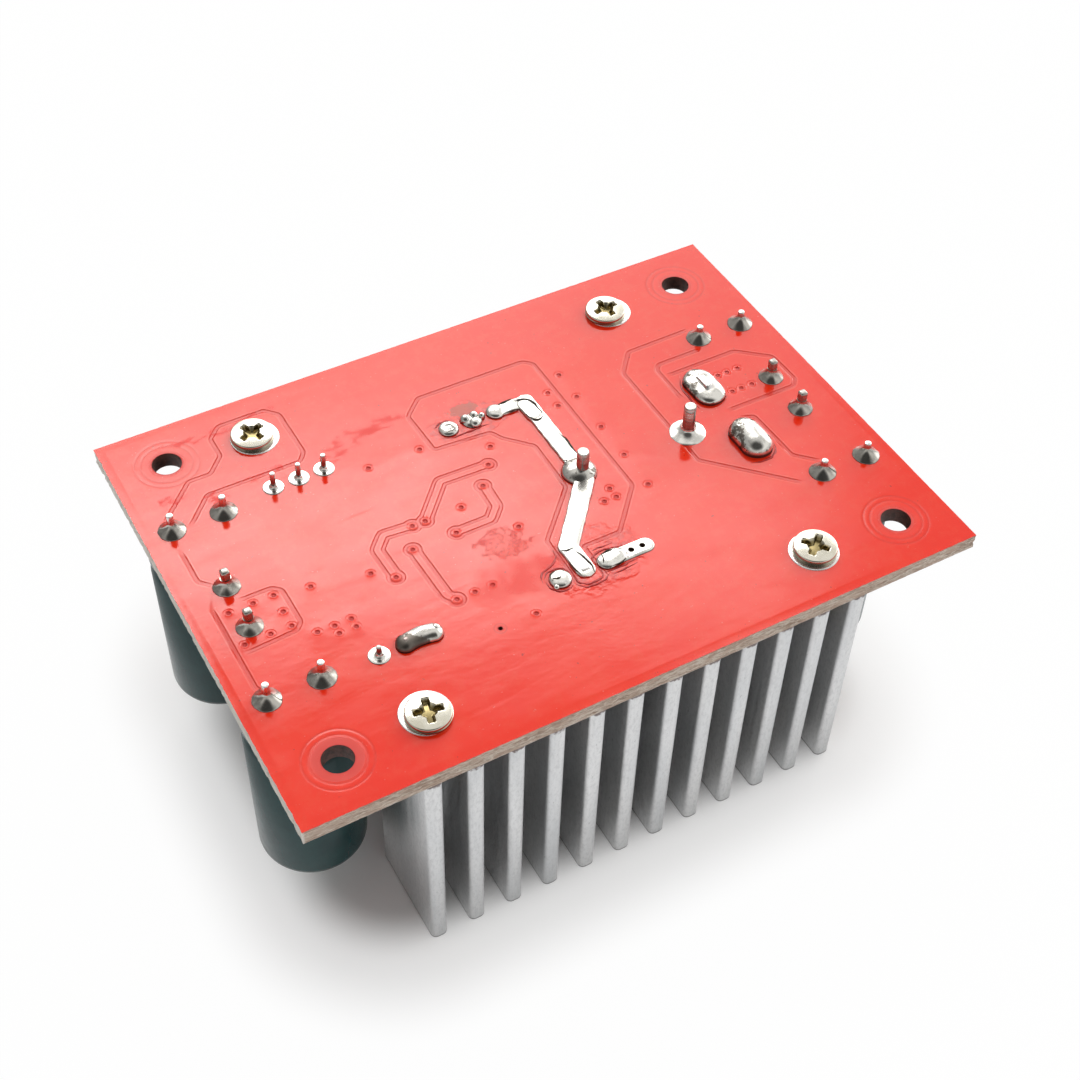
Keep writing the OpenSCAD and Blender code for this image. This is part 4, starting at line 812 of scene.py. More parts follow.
def build_board():
    outline, inward = outer_edge()
    holes = drilled_holes()
    grooves = [groove_path(points) for points in POUR_GROOVES]
    tracks = [fillet(points, TRACK_BEND, 2) for points in TRACKS]
    flat, triangles = board_lines(outline, holes, grooves, tracks).triangles(0)
    flat = np.array([(p.x, p.y) for p in flat])
    middles = np.array([flat[list(t)].mean(0) for t in triangles])
    inside = inside_loop(middles, [(p.x, p.y) for p in outline])
    for loop in holes:
        inside &= ~inside_loop(middles, loop)
    triangles = [tuple(t) for t, kept in zip(triangles, inside) if kept]
    height, marks = mask_relief(flat, grooves, tracks)

    # Top, underside, and walls around the outline and every hole
    count = len(flat)
    verts = [Vector((x, y, TOP + h)) * MM for (x, y), h in zip(flat, height)]
    verts += [Vector((x, y, UNDER)) * MM for x, y in flat]
    faces = triangles + [tuple(count + i for i in reversed(t)) for t in triangles]
    slots = [MASK_SLOT] * len(triangles) + [UNDER_SLOT] * len(triangles)
    open_edges = {}
    for t in triangles:
        for a, b in zip(t, t[1:] + t[:1]):
            if not open_edges.pop((b, a), False):
                open_edges[(a, b)] = True
    columns = {}
    ways = {(round(p.x, 4), round(p.y, 4)): w for p, w in zip(outline, inward)}

    def column(i):
        """Points of the sawn edge below a point of the outline."""
        if i not in columns:
            x, y = flat[i]
            on_end = abs(abs(x) - HALF_L) < abs(abs(y) - HALF_W)
            plain = Vector((-math.copysign(1, x), 0) if on_end else (0, -math.copysign(1, y)))
            way = ways.get((round(x, 4), round(y, 4)), plain)
            columns[i] = [i]
            for level in range(1, EDGE_ROWS):
                z = TOP - (TOP - UNDER) * level / EDGE_ROWS
                rough = noise.noise(Vector((x / 0.5, y / 0.5, z / 0.3))) + lumpy(x, y, z, 0.2, 0.6)
                depth = max(0.0, EDGE_DEPTH + EDGE_SWING * rough)
                columns[i].append(len(verts))
                verts.append(Vector((x + way.x * depth, y + way.y * depth, z)) * MM)
            columns[i].append(count + i)
        return columns[i]

    for a, b in open_edges:
        if all(min(HALF_L - abs(flat[i][0]), HALF_W - abs(flat[i][1])) < OUTLINE_NEAR for i in (a, b)):
            left, right = column(a), column(b)
            for level in range(EDGE_ROWS):
                faces.append((right[level], left[level], left[level + 1], right[level + 1]))
                slots.append(EDGE_SLOT)
        else:
            faces.append((b, a, count + a, count + b))
            slots.append(HOLE_SLOT)
    mesh = bpy.data.meshes.new("printed_board")
    mesh.from_pydata(verts, [], faces)
    mesh.polygons.foreach_set("material_index", slots)
    for name, values in marks.items():
        full = np.zeros(len(verts), np.float32)
        full[:count] = values
        mesh.attributes.new(name, "FLOAT", "POINT").data.foreach_set("value", full)
    board = dress(mesh, "printed_board", [MASK, LAMINATE, MASK_UNDER, HOLE_WALL], ROOT, sharp=7)
    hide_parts("circuit_board")


build_board()


# Solder

SURFACE = TOP + COPPER_T
PAD_T = 0.15
# Sides of the mounds toward the camera, where their burnt flux is laid darker as painted shade
SHADED_SIDE_LEFT, SHADED_SIDE_FRONT = (-0.87, 0.49), (-0.62, -0.78)
# Pad of a flat joint up to its pin: share of the radius, share of the height
PAD_PROFILE = ((1.0, 0.0), (1.0, 0.08), (0.985, 0.14), (0.94, 0.17), (0.80, 0.185), (0.60, 0.195), (0.48, 0.22),
               (0.40, 0.30), (0.345, 0.45), (0.305, 0.66), (0.28, 0.86))
BLADE_MOUND, BLOB_ROWS, DIMPLE_R = 1.9, 14, 0.32


def spun(x, y, levels, sides, shape):
    """Rings around a place, where shape gives radius and height for a level and a way."""
    rings = []
    for level in levels:
        ring = []
        for c, q in compass(sides):
            r, z = shape(*level, c, q)
            ring.append((x + r * c, y + r * q, z))
        rings.append(ring)
    return rings


def cone_joint(shell, x, y, pad_r, lead_r, height, seed, hollow=1.7, sides=48, tone=0.85):
    """Solder that climbs a lead: a rounded foot on the pad and a hollow slope."""
    lean = Vector((lumpy(seed, 0, 0, 0.37, 0.3), lumpy(0, seed, 0, 0.37, 0.3)))
    levels = [(1.0, 0.0), (1.0, 0.04), (0.985, 0.075)]
    levels += [(max(0.0, 1 - t) ** hollow * 0.97, 0.09 + 0.91 * t) for t in (k / 15 for k in range(16))]

    def shape(share, level, c, q):
        waves = lumpy(c + seed * 3.1, q, 0, 2.2, 0.06) + lumpy(3 * c + seed * 5.3, 3 * q, level, 0.9, 0.035)
        tilt = 0.10 * (1 - level) * (lean.x * c + lean.y * q)
        r = (lead_r + (pad_r - lead_r) * share) * (1 + share * (waves + tilt))
        return r, TOP + height * level * (1 + lumpy(c, q + seed, 0, 2.2, 0.04))

    shell.loft(spun(x, y, levels, sides, shape), False, True, 0.0, 2, tone)


def pad_joint(shell, x, y, pad_r, lead_r, height, seed, sides=36):
    """Flat shining pad of solder with a small fillet at a thin pin."""

    def shape(share, level, c, q):
        r = pad_r * share * (1 + lumpy(c + seed * 3.1, q, 0, 1.2, 0.04 * share))
        return r, TOP + 0.03 + height * level

    levels = PAD_PROFILE + ((lead_r / pad_r, 1.0),)
    shell.loft(spun(x, y, levels, sides, shape), False, True, 0.0, 2)


def blob(shell, ends, radius, height, seed, lumps=0.05, burnt=0.0, flat=0.7, bow=0.0, dimple=0.0, arcs=20, size=1.5,
         tone=0.0, side=None):
    """Low mound of solder around a line between two points, or around one point."""
    a, b = Vector(ends[0]), Vector(ends[-1])
    along = (b - a).normalized() if (b - a).length > 1e-6 else Vector((1, 0))
    across = Vector((-along.y, along.x))
    straight = int((b - a).length / 0.25)
    spots = [(1.0, -90 + 180 * k / arcs) for k in range(arcs + 1)]
    spots += [(1 - k / straight, 90) for k in range(1, straight)]
    spots += [(0.0, 90 + 180 * k / arcs) for k in range(arcs + 1)]
    spots += [(k / straight, 270) for k in range(1, straight)]
    rings, dark_shares = [], []
    for level in range(BLOB_ROWS + 1):
        t = level / BLOB_ROWS
        share = math.cos(t * math.pi / 2 * 0.985)
        rise = math.sin(t * math.pi / 2) ** flat
        ring = []
        for place, angle in spots:
            c, q = math.cos(math.radians(angle)), math.sin(math.radians(angle))
            r = radius * share * (1 + lumpy(c * 1.2 + seed + place, q * 1.2, 0, 1.1, lumps))
            p = a + (b - a) * place + along * (c * r) + across * (q * r + bow * 4 * place * (1 - place))
            dip = dimple * math.exp(-(share * radius / DIMPLE_R) ** 2)
            z = SURFACE - 0.03 + height * rise * (1 + lumpy(p.x + seed, p.y, 0, size, lumps * 1.4) - dip)
            ring.append((p.x, p.y, z))
            # More darkening on the given side: painted shade on the side toward the camera, over the burnt flux
            lean = 1.0 if side is None else (p - (a + b) / 2).dot(Vector(side).normalized()) / radius
            dark_shares.append(burnt * min(1.0, max(0.05, 0.35 + 1.1 * lean)))
        rings.append(ring)
    base = len(shell.points)
    shell.loft(rings, False, True, burnt, 2, tone)
    shell.burnt[base:] = dark_shares


RECTIFIER_LOBES = (((-0.55, 0.35), 0.55, 0.62), ((0.35, 0.40), 0.50, 0.66), ((0.10, -0.45), 0.62, 0.60),
                   ((1.05, 0.05), 0.36, 0.55))


def build_solder():
    shell = Shell()
    for i, (x, y) in enumerate(CAP_LEADS):
        cone_joint(shell, x, y, 1.3, 0.33, 1.2, 1.7 + i)
    for i, (x, y) in enumerate(OUTPUT_PINS + INPUT_PINS):
        cone_joint(shell, x, y, 1.25, 0.50, 1.2, 11.3 + i)
    for i, (x, y) in enumerate(REAR_TRIMMER_PINS + FRONT_TRIMMER_PINS[:1]):
        pad_joint(shell, x, y, 1.0, 0.25, 0.4, 21.9 + i)
    left, right = FRONT_TRIMMER_PINS[1:]
    blob(shell, [left, right], 1.0, 0.80, 31.2, 0.07, 0.95, 0.8, 0.16, size=0.9, tone=0.35, side=SHADED_SIDE_FRONT)
    blob(shell, [(right[0] + 0.35, right[1] + 0.1)], 0.55, 0.86, 33.0, 0.03, 0.0, 0.8)
    first, (x, y), last = RECTIFIER_PINS
    blob(shell, [first], 1.0, 0.46, 41.6, 0.07, 0.46, 0.6, dimple=0.55, tone=0.2)
    blob(shell, [(x, y)], 1.0, 0.40, 42.6, 0.07, 0.55, 0.7)
    blob(shell, [last], 0.95, 0.50, 43.6, 0.05, 0.25, 0.6)
    for (dx, dy), r, h in RECTIFIER_LOBES:
        blob(shell, [(x + dx, y + dy)], r, h, 45.0 + dx, 0.04, 0.2, 0.75, arcs=12, tone=0.1)
    (x, y), _, last = TRANSISTOR_PINS
    blob(shell, [(x, y)], 1.05, 0.48, 51.1, 0.04, 0.28, 0.55)
    blob(shell, [(x - 0.75, y - 0.65)], 0.30, 0.34, 52.1, 0.03, 0.0, 0.7, arcs=12)
    x, y = last
    blob(shell, [(x - 0.3, y - 0.1), (x + 0.7, y + 0.05)], 0.95, 0.40, 53.1, 0.10, 0.42, 0.5)
    blob(shell, [(COIL_A[0] - 0.22, COIL_A[1] + 0.22)], 1.75, 0.95, 61.4, 0.05, 0.40, 0.95, arcs=28, tone=0.45)
    cone_joint(shell, *COIL_B, 1.78, 0.6, 0.8, 62.8, 2.4, 52, 0.0)
    blob(shell, pin_pair(*FUSE_FRONT, BLADE_MOUND), 1.62, 1.5, 71.5, 0.03, 0.60, 0.75, arcs=28, tone=0.15,
         side=SHADED_SIDE_LEFT)
    blob(shell, pin_pair(*FUSE_REAR, BLADE_MOUND), 1.62, 0.86, 75.2, 0.08, 0.58, 0.55, arcs=28, size=1.1, tone=0.2,
         side=SHADED_SIDE_LEFT)
    joints = shell.make("solder_mounds", SOLDER, sharp=70)
    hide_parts("solder_joints")


# Section of a strip of solder: share of the half width, share of the height
STRIP_PROFILE = ((-1.0, 0.0), (-1.0, 0.45), (-0.97, 0.75), (-0.92, 0.92), (-0.84, 1.0), (-0.4, 1.0), (0.0, 1.0),
                 (0.4, 1.0), (0.84, 1.0), (0.92, 0.92), (0.97, 0.75), (1.0, 0.45), (1.0, 0.0))
CLIMB_RUN = 5.0


def ribbon(shell, path, width, height, seed, wave=0.03, round_end=0.5, climb=0.0, step=0.15):
    """Solder flooded along a strip: flat on top, with rounded sides and ends."""
    path = fillet(path, 0.1, 2)
    runs = []
    for a, b in zip(path[:-1], path[1:]):
        count = max(1, int((b - a).length / step))
        runs += [a + (b - a) * (k / count) for k in range(count)]
    runs.append(path[-1])
    far = [0.0]
    for a, b in zip(runs[:-1], runs[1:]):
        far.append(far[-1] + (b - a).length)
    left, right = shifted(runs, width / 2), shifted(runs, -width / 2)
    rings = []
    for i, p in enumerate(runs):
        near_end = min(1.0, (min(far[i], far[-1] - far[i]) + 0.01) / round_end)
        tail = math.sqrt(1 - (1 - near_end) ** 2)
        over = climb * max(0.0, 1 - far[i] / CLIMB_RUN)
        ring = []
        for t, level in STRIP_PROFILE:
            side = right[i] if t > 0 else left[i]
            sway = 1 + lumpy(p.x + seed + (7 if t > 0 else 0), p.y, 0, 0.9, wave)
            q = p + (side - p) * abs(t) * sway * tail
            top = height * level * (0.55 + 0.45 * tail) + (lumpy(q.x, q.y, seed, 1.6, 0.02) if level == 1.0 else 0.0)
            ring.append((q.x, q.y, SURFACE - 0.02 + top + (over if level else 0.0)))
        rings.append(ring[::-1])
    base, count = len(shell.points), len(STRIP_PROFILE)
    shell.loft(rings)
    # The strip's edges get the dark line of the foot, partly painted shade
    for first in range(base, len(shell.points), count):
        shell.foot[first] = shell.foot[first + count - 1] = 1.0


def build_strips():
    shell = Shell()
    anode, drain = RECTIFIER_PINS[2], TRANSISTOR_PINS[1]
    x, y = COIL_A[0], anode[1]
    ribbon(shell, [(anode[0] - 0.2, y), (x + 0.35, y)], 1.5, 0.22, 5.5, 0.16)
    ribbon(shell, [(x, y + 0.85), COIL_A], 1.75, 0.24, 6.1, 0.06, 0.8)
    ribbon(shell, [(x - 0.35, y + 0.35), (x - 0.15, y - 2.9)], 1.6, 0.30, 8.4, 0.05, 0.8)
    ribbon(shell, [(COIL_A[0] + 0.12, COIL_A[1] - 0.45), (drain[0], drain[1] + 3.0), (drain[0], drain[1] - 0.95)],
           1.9, 0.24, 7.3, 0.07, 0.85, 0.22)
    strips = shell.make("solder_flood", STRIP_SOLDER, sharp=50)
    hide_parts("tinned_strips")


def build_source_flood(sides=40, hole_sides=16):
    """Tinned pad with two open holes beside the transistor's source."""
    shell, drawing = Shell(), Drawing()
    half, reach, top, bottom = 0.85, 3.7, SURFACE + PAD_T, TOP - 0.01
    x, y = TRANSISTOR_PINS[2]
    left, right = x - 0.1, x + reach + 0.9 - half
    rings = []
    for grow, z in ((0.0, bottom), (0.0, SURFACE + 0.05), (-0.04, SURFACE + 0.1), (-0.12, SURFACE + 0.135),
                    (-0.25, top)):
        rings.append([((right if c > 0 else left) + (half + grow) * c, y + (half + grow) * q, z)
                      for c, q in compass(sides, 0.5)])
    shell.loft(rings, False, False, 0.35, 2)
    drawing.line(rings[-1], True)
    for hole in SPARE_HOLES:
        drawing.circles(*hole, [SPARE_R], hole_sides)
    flat, triangles = drawing.triangles(1)
    base = len(shell.points)
    shell.add([(p.x, p.y, top) for p in flat], 0.36)
    for t in triangles:
        middle = (flat[t[0]] + flat[t[1]] + flat[t[2]]) / 3
        if all((middle - Vector(hole)).length > SPARE_R * 0.98 for hole in SPARE_HOLES):
            shell.faces.append(tuple(base + i for i in t))
    # The hole walls get more darkening than the top: painted shade inside the holes
    for hole in SPARE_HOLES:
        shell.loft([circle(*hole, SPARE_R, hole_sides, z)[::-1] for z in (top, bottom)], False, False, 0.6)
    pad = shell.make("source_flood", SOLDER, sharp=50)


build_solder()
build_strips()
build_source_flood()


# Winding

def winding_route(steps=5):
    """Centre line of the wire, as the CAD lays it, with finer bends: along the axis, from the axis, angle."""
    core_id, core_od, wire_r, play, core_r = 12.6, 20.2, 0.6, 0.11, 0.7
    turns, gap, proud_left, proud_right = 22, 26, 2.9, 3.5
    inner = core_id / 2 - play - wire_r
    outer = core_od / 2 + play + wire_r
    bend = core_r + play + wire_r
    step = (360 - gap) / (turns - 1)

    def arc(cx, cy, start, stop):
        ways = [math.radians(start + (stop - start) * k / steps) for k in range(steps + 1)]
        return [(cx + bend * math.cos(a), cy + bend * math.sin(a)) for a in ways]

    def turn_in(angle):
        return [(*p, angle) for p in arc(bend - COIL_SIDE, inner + bend, 180, 270)
                + arc(COIL_SIDE - bend, inner + bend, 270, 360)]

    def turn_out(angle):
        return ([(*p, angle) for p in arc(COIL_SIDE - bend, outer - bend, 0, 90)]
                + [(*p, angle + step) for p in arc(bend - COIL_SIDE, outer - bend, 90, 180)])

    def lead(side, proud, angle):
        rise = TOP + proud - COIL_Z
        return [(side * COIL_SIDE, z, angle) for z in (rise, rise - 0.1, UNDER - COIL_Z, outer)]

    route = lead(-1, proud_left, 0.0)
    for i in range(turns - 1):
        angle = gap / 2 + i * step
        route += turn_in(angle) + turn_out(angle)
    route += turn_in(360 - gap / 2) + lead(1, proud_right, 360.0)[::-1]
    return route


def build_winding(sides=14, wire_r=0.6):
    route = winding_route()

    def spot(along, out, angle):
        a = math.radians(angle)
        return Vector((COIL_X + along, COIL_Y + out * math.sin(a), COIL_Z + out * math.cos(a)))

    spots = [spot(*p) for p in route]
    shell = Shell()
    rings = []
    for i, p in enumerate(spots):
        ahead = heading(spots, i)
        a = math.radians(route[i][2])
        around = Vector((0, math.cos(a), -math.sin(a)))
        across = (around - ahead * around.dot(ahead)).normalized()
        other = ahead.cross(across)
        r = wire_r * (0.86 if i in (0, len(spots) - 1) else 1.0)
        rings.append([p + (across * c + other * q) * r for c, q in compass(sides)])
    shell.loft(rings)
    wire = shell.make("wire_turns", ENAMEL, sharp=50)
    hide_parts("inductor_winding")


build_winding()


# CAD solids with softened edges

FIN_COUNT, FIN_T, CAD_TIP_R, TIP_R = 12, 1.6, 0.25, 0.55
# Reach of a tip's own points, and the angle from which an edge is rounded
NEAR, CORNER = 0.003, 40.0


def round_tips(bm, node):
    """Gives the fins of a heatsink's copy the fuller round tips of the photo."""
    low, high = node_box(node)
    tip_y, way = (low.y, 1) if low.y + high.y < 0 else (high.y, -1)
    pitch = (high.x - low.x - FIN_T) / (FIN_COUNT - 1)
    flat = FIN_T / 2 - CAD_TIP_R
    for v in bm.verts:
        deep = abs(v.co.y / MM - tip_y)
        first = low.x + FIN_T / 2
        middle = first + round((v.co.x / MM - first) / pitch) * pitch
        aside = v.co.x / MM - middle
        if deep < CAD_TIP_R + NEAR and abs(aside) > flat - NEAR:
            c, q = (abs(aside) - flat) / CAD_TIP_R, (CAD_TIP_R - deep) / CAD_TIP_R
            v.co.x = (middle + math.copysign(FIN_T / 2 - TIP_R + TIP_R * c, aside)) * MM
            v.co.y = (tip_y + way * TIP_R * (1 - q)) * MM


def refine(node, material, bevel, segments=2, sharp=38.0, reshape=None):
    """Copy of a CAD solid with joined faces and rounded edges, standing for its node."""
    bm = bmesh.new()
    bm.from_mesh(NODES[node].data)
    bmesh.ops.remove_doubles(bm, verts=bm.verts, dist=2e-6)
    bmesh.ops.dissolve_limit(bm, angle_limit=math.radians(0.4), verts=bm.verts, edges=bm.edges,
                             use_dissolve_boundaries=False)
    bmesh.ops.recalc_face_normals(bm, faces=bm.faces)
    if reshape:
        reshape(bm, node)
    if bevel:
        edges = [e for e in bm.edges if len(e.link_faces) == 2 and e.calc_face_angle(0) > math.radians(CORNER)]
        bmesh.ops.bevel(bm, geom=edges, offset=bevel * MM, offset_type="OFFSET", segments=segments, profile=0.5,
                        affect="EDGES", clamp_overlap=True)
    mesh = bpy.data.meshes.new(node + "_finish")
    bm.to_mesh(mesh)
    bm.free()
    piece = dress(mesh, node + "_finish", [material], NODES[node]["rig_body"], sharp)
    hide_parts(node)


for side in SIDES:
    refine(side + "_heatsink", ALUMINIUM, 0.07, reshape=round_tips)
for device in ("transistor", "rectifier"):
    refine(device + "_body", EPOXY, 0.15)
    refine(device + "_tab", TIN, 0.08)
    refine(device + "_leads", TIN, 0.05)
    refine(device + "_screw", ZINC, 0.1)
for side in SIDES:
    for end in ENDS:
        base = f"{side}_{end}_capacitor"
        refine(base + "_can", CAN, 0.03)
        refine(base + "_sleeve", SLEEVE, 0.0, sharp=60)
        refine(base + "_seal", RUBBER, 0.05)
        refine(base + "_leads", LEAD_TIN, 0.06)
for end in ENDS:
    refine(end + "_block_housing", BLOCK_GREEN, 0.12)
    refine(end + "_block_contacts", PIN_TIN, 0.2, segments=3)
    for side in SIDES:
        refine(f"{end}_{side}_clamp", BRASS, 0.08)
        refine(f"{end}_{side}_clamp_screw", ZINC, 0.08)
for side in reversed(SIDES):
    refine(side + "_trimmer_housing", TRIMMER_BLUE, 0.12)
    refine(side + "_trimmer_pins", LEAD_TIN, 0.05)
    refine(side + "_trimmer_screw", BRASS, 0.06)
refine("fuse_body", FUSE_BLUE, 0.2, segments=3)
refine("fuse_element", TIN, 0.06)
refine("inductor_core", CORE_PAINT, 0.0)


def middle_of(node):
    return sum(node_box(node), Vector()) / 2


# Chip parts: half lengths of their bodies between the metal ends, and distances of their middles
CHIP_HALF, PART_HALF, SHUNT_HALF = 1.96, 0.6, 2.3
RESISTOR_PITCH, CERAMIC_SIDE, CERAMIC_FUSE = 2.4, 1.25, 1.8
chip_x, row_x, shunt_y = middle_of("controller_chip").x, middle_of("chip_resistors").x, middle_of("shunt_resistor").y
CHIP = banded("chip_black", (0.016, 0.016, 0.017), [chip_x], CHIP_HALF, 0, 0.5)
for node in ("controller_chip", "amplifier_chip"):
    refine(node, CHIP, 0.05)
RESISTOR = banded("chip_resistor", (0.020, 0.020, 0.022), (row_x - RESISTOR_PITCH, row_x, row_x + RESISTOR_PITCH),
                  PART_HALF, 0, 0.42)
refine("chip_resistors", RESISTOR, 0.03)
CERAMIC = banded("chip_ceramic", (0.30, 0.19, 0.10),
                 (chip_x - CERAMIC_SIDE, chip_x + CERAMIC_SIDE, FUSE_X - CERAMIC_FUSE), PART_HALF, 0, 0.5)
refine("chip_capacitors", CERAMIC, 0.03)
SHUNT = banded("shunt_black", (0.020, 0.020, 0.021), [shunt_y], SHUNT_HALF, 1, 0.45)
refine("shunt_resistor", SHUNT, 0.05)


# Small printed and tinned things on the board and the sleeves

PAD_SHIFTS = ((-0.10, 0.32), (0.20, -0.12), (-0.16, -0.08), (0.34, 0.02))
HEAD_TURNS = (-12, 24, 38, 8)
DOME, HEAD_ROWS = 0.16, 30
# Depth where the painted shade in the recess is full, and how dark the painted shade on the skirt of a head is, which
# its rings 2 to 8 form
FULL_SHADE, SKIRT_SHADE = 0.3, 0.5


def screw_pads(sides=48, bore_r=1.5):
    """Bare tinned ring that shows beside each screw's head."""
    shell = Shell()
    top = COPPER_T + 0.05
    for (x, y), (dx, dy) in zip(CLIPS, PAD_SHIFTS):
        rings = [circle(x + dx, y + dy, r, sides, TOP + z) for r, z in
                 ((2.34, 0.0), (2.335, COPPER_T + 0.02), (2.30, COPPER_T + 0.045), (2.22, top))]
        rings += [circle(x, y, bore_r, sides, z) for z in (TOP + COPPER_T + 0.05, TOP)]
        shell.loft(rings, False, False)
    pads = shell.make("screw_pads", TIN, sharp=60)


def recess_depth(u, v):
    """Depth of the cross recess at a place on the head."""
    reach, half, wall, full = 1.34, 0.36, 0.15, 0.58
    run_out, cup_r, cup_wall = 0.3, 0.82, 0.4

    def share(value):
        return min(1.0, max(0.0, value))

    arms = [share((half - abs(b)) / wall) * share((reach - abs(a)) / run_out) for a, b in ((u, v), (v, u))]
    return full * max(*arms, share((cup_r - math.hypot(u, v)) / cup_wall))


def screw_heads(sides=144):
    """Pan heads with a tapered cross recess, on plain shanks."""
    shell = Shell()
    low, high = node_box("heatsink_screws")
    head_r, head_h, shank_r, round_r = 2.05, high.z - TOP, 1.3, 0.13
    for (x, y), turn in zip(CLIPS, HEAD_TURNS):
        outline = [(shank_r, low.z - TOP), (shank_r, 0.0), (head_r - 0.1, 0.0), (head_r, 0.08),
                   (head_r, 0.26), (head_r - 0.07, 0.31), (head_r - 0.07, 0.38), (head_r - 0.02, 0.43),
                   (head_r - 0.02, head_h - round_r - DOME)]
        outline += [(head_r - 0.02 - round_r * (1 - math.cos(a)), head_h - DOME - round_r * (1 - math.sin(a)))
                    for a in (math.radians(d) for d in (22, 45, 68, 90))]
        rings = [circle(x, y, r, sides, TOP + z) for r, z in outline]
        top_r = outline[-1][0]
        first, shades = len(shell.points), []
        top = first + len(rings) * sides
        for row in range(1, HEAD_ROWS):
            r = top_r * (1 - row / HEAD_ROWS)
            ring = []
            for k in range(sides):
                a = 2 * math.pi * k / sides
                b = a - math.radians(turn)
                recess = recess_depth(r * math.cos(b), r * math.sin(b))
                shades.append(min(1.0, recess / FULL_SHADE))
                z = head_h - DOME * (r / top_r) ** 2 - recess
                ring.append((x + r * math.cos(a), y + r * math.sin(a), TOP + z))
            rings.append(ring)
        shell.loft(rings)
        # Painted shade: a set amount on the skirt, and more in the recess where it is deeper
        shell.burnt[first + 2 * sides:first + 9 * sides] = [SKIRT_SHADE] * (7 * sides)
        shell.burnt[top:] = shades
    heads = shell.make("cross_head_screws", NICKEL, sharp=35)
    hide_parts("heatsink_screws")


# Ridges of the mask: height of their middle, lines on the board
RIDGE_SINK = -0.01
RIDGES = (
    ((-4.0, -10.4), (-4.05, -11.2), (-3.5, -12.0), (-2.6, -12.15), (-1.8, -11.8)),
    ((-4.0, -10.1), (-3.5, -9.6), (-2.7, -9.5), (-1.9, -9.6), (-1.55, -10.3)),
    ((-4.3, -10.5), (-4.2, -9.8), (-3.6, -9.2), (-2.5, -9.0), (-1.8, -8.4), (-1.55, -7.4)),
    ((-1.5, -10.8), (-1.45, -11.8), (-0.9, -12.4), (0.2, -12.5), (0.95, -12.1), (1.1, -11.2)),
    ((-1.75, -11.9), (-1.1, -12.7), (0.0, -12.85), (1.0, -12.6), (1.6, -12.2)),
    ((1.05, -11.0), (1.0, -9.9), (1.6, -9.55), (2.7, -9.5), (3.6, -9.75), (4.4, -9.8)),
    ((1.2, -11.9), (2.1, -12.0), (3.3, -11.95), (4.2, -11.8), (5.3, -11.9)),
    ((1.8, -12.5), (3.0, -12.4), (4.4, -12.3)),
    ((1.45, -9.2), (2.4, -9.05), (3.6, -9.2)),
    ((-4.0, 10.1), (-3.0, 9.6), (-1.6, 9.65), (-0.4, 9.6), (0.7, 9.75), (1.3, 9.6)),
    ((-3.9, 11.5), (-3.3, 11.95), (-2.4, 11.95), (-1.9, 11.6)),
    ((20.2, 1.9), (20.1, 3.2), (20.2, 5.4), (20.8, 6.6)),
    ((20.4, -6.6), (21.4, -6.95), (22.6, -6.9), (23.6, -6.3), (23.95, -5.0)),
)
# Dark seams along the strips and near the joints: height above the mask, line
SEAMS = (
    (0.28, ((4.1, 11.2), (4.9, 11.15), (5.6, 10.9), (6.15, 10.2), (6.25, 9.1), (6.2, 8.3))),
    (0.26, ((6.15, 8.0), (5.6, 7.75), (5.0, 7.9), (4.75, 8.7), (4.7, 9.9))),
    (0.23, ((6.3, 5.4), (6.42, 4.4), (6.36, 3.0), (6.45, 1.9))),
    (0.22, ((2.9, 11.45), (3.7, 11.5), (4.6, 11.6))),
    (0.20, ((2.9, 10.1), (3.8, 10.1), (4.6, 9.95))),
    (0.25, ((4.75, 1.9), (5.3, 1.5), (6.1, 1.45), (6.6, 1.7))),
    (0.24, ((-1.1, -8.0), (-0.5, -8.3), (0.1, -8.2))),
    (0.22, ((-0.1, -8.3), (0.3, -9.2), (0.5, -10.7), (0.35, -11.6))),
    (0.22, ((-1.1, -9.2), (-1.05, -10.4), (-0.9, -11.4))),
    (0.30, ((-3.6, -10.6), (-3.4, -10.1), (-2.7, -9.92), (-2.0, -10.2))),
    (0.43, ((-3.5, -10.6), (-3.0, -10.95), (-2.6, -10.7))),
    (0.27, ((1.5, -10.3), (2.2, -9.98), (3.2, -10.05), (3.9, -10.4))),
    (0.36, ((1.9, -10.1), (1.75, -10.7), (1.45, -11.1))),
    (0.24, ((2.0, -11.75), (2.9, -11.8), (3.7, -11.5))),
)


def wrinkles(name, lines, half_w, height, material):
    """Thin uneven beads along lines on the board."""
    shell = Shell()
    for index, (level, points) in enumerate(lines):
        path = fillet(points, 0.5, 5)
        rings = []
        for i, p in enumerate(path):
            ahead = heading(path, i)
            left = Vector((-ahead.y, ahead.x))
            shift = lumpy(p.x, p.y, index, 0.6, 0.10)
            end = math.sin(math.pi * (i + 0.15) / (len(path) - 0.7)) ** 0.5
            half = half_w * end * (1 + lumpy(p.x, p.y, index + 9, 0.5, 0.5))
            rise = height * end * (1 + lumpy(p.x, p.y, index + 4, 0.45, 0.7))
            rings.append([(*(p + left * (shift + half * c)), SURFACE + level + rise * q) for c, q in compass(8)])
        shell.loft(rings)
    beads = shell.make(name, material, sharp=80)


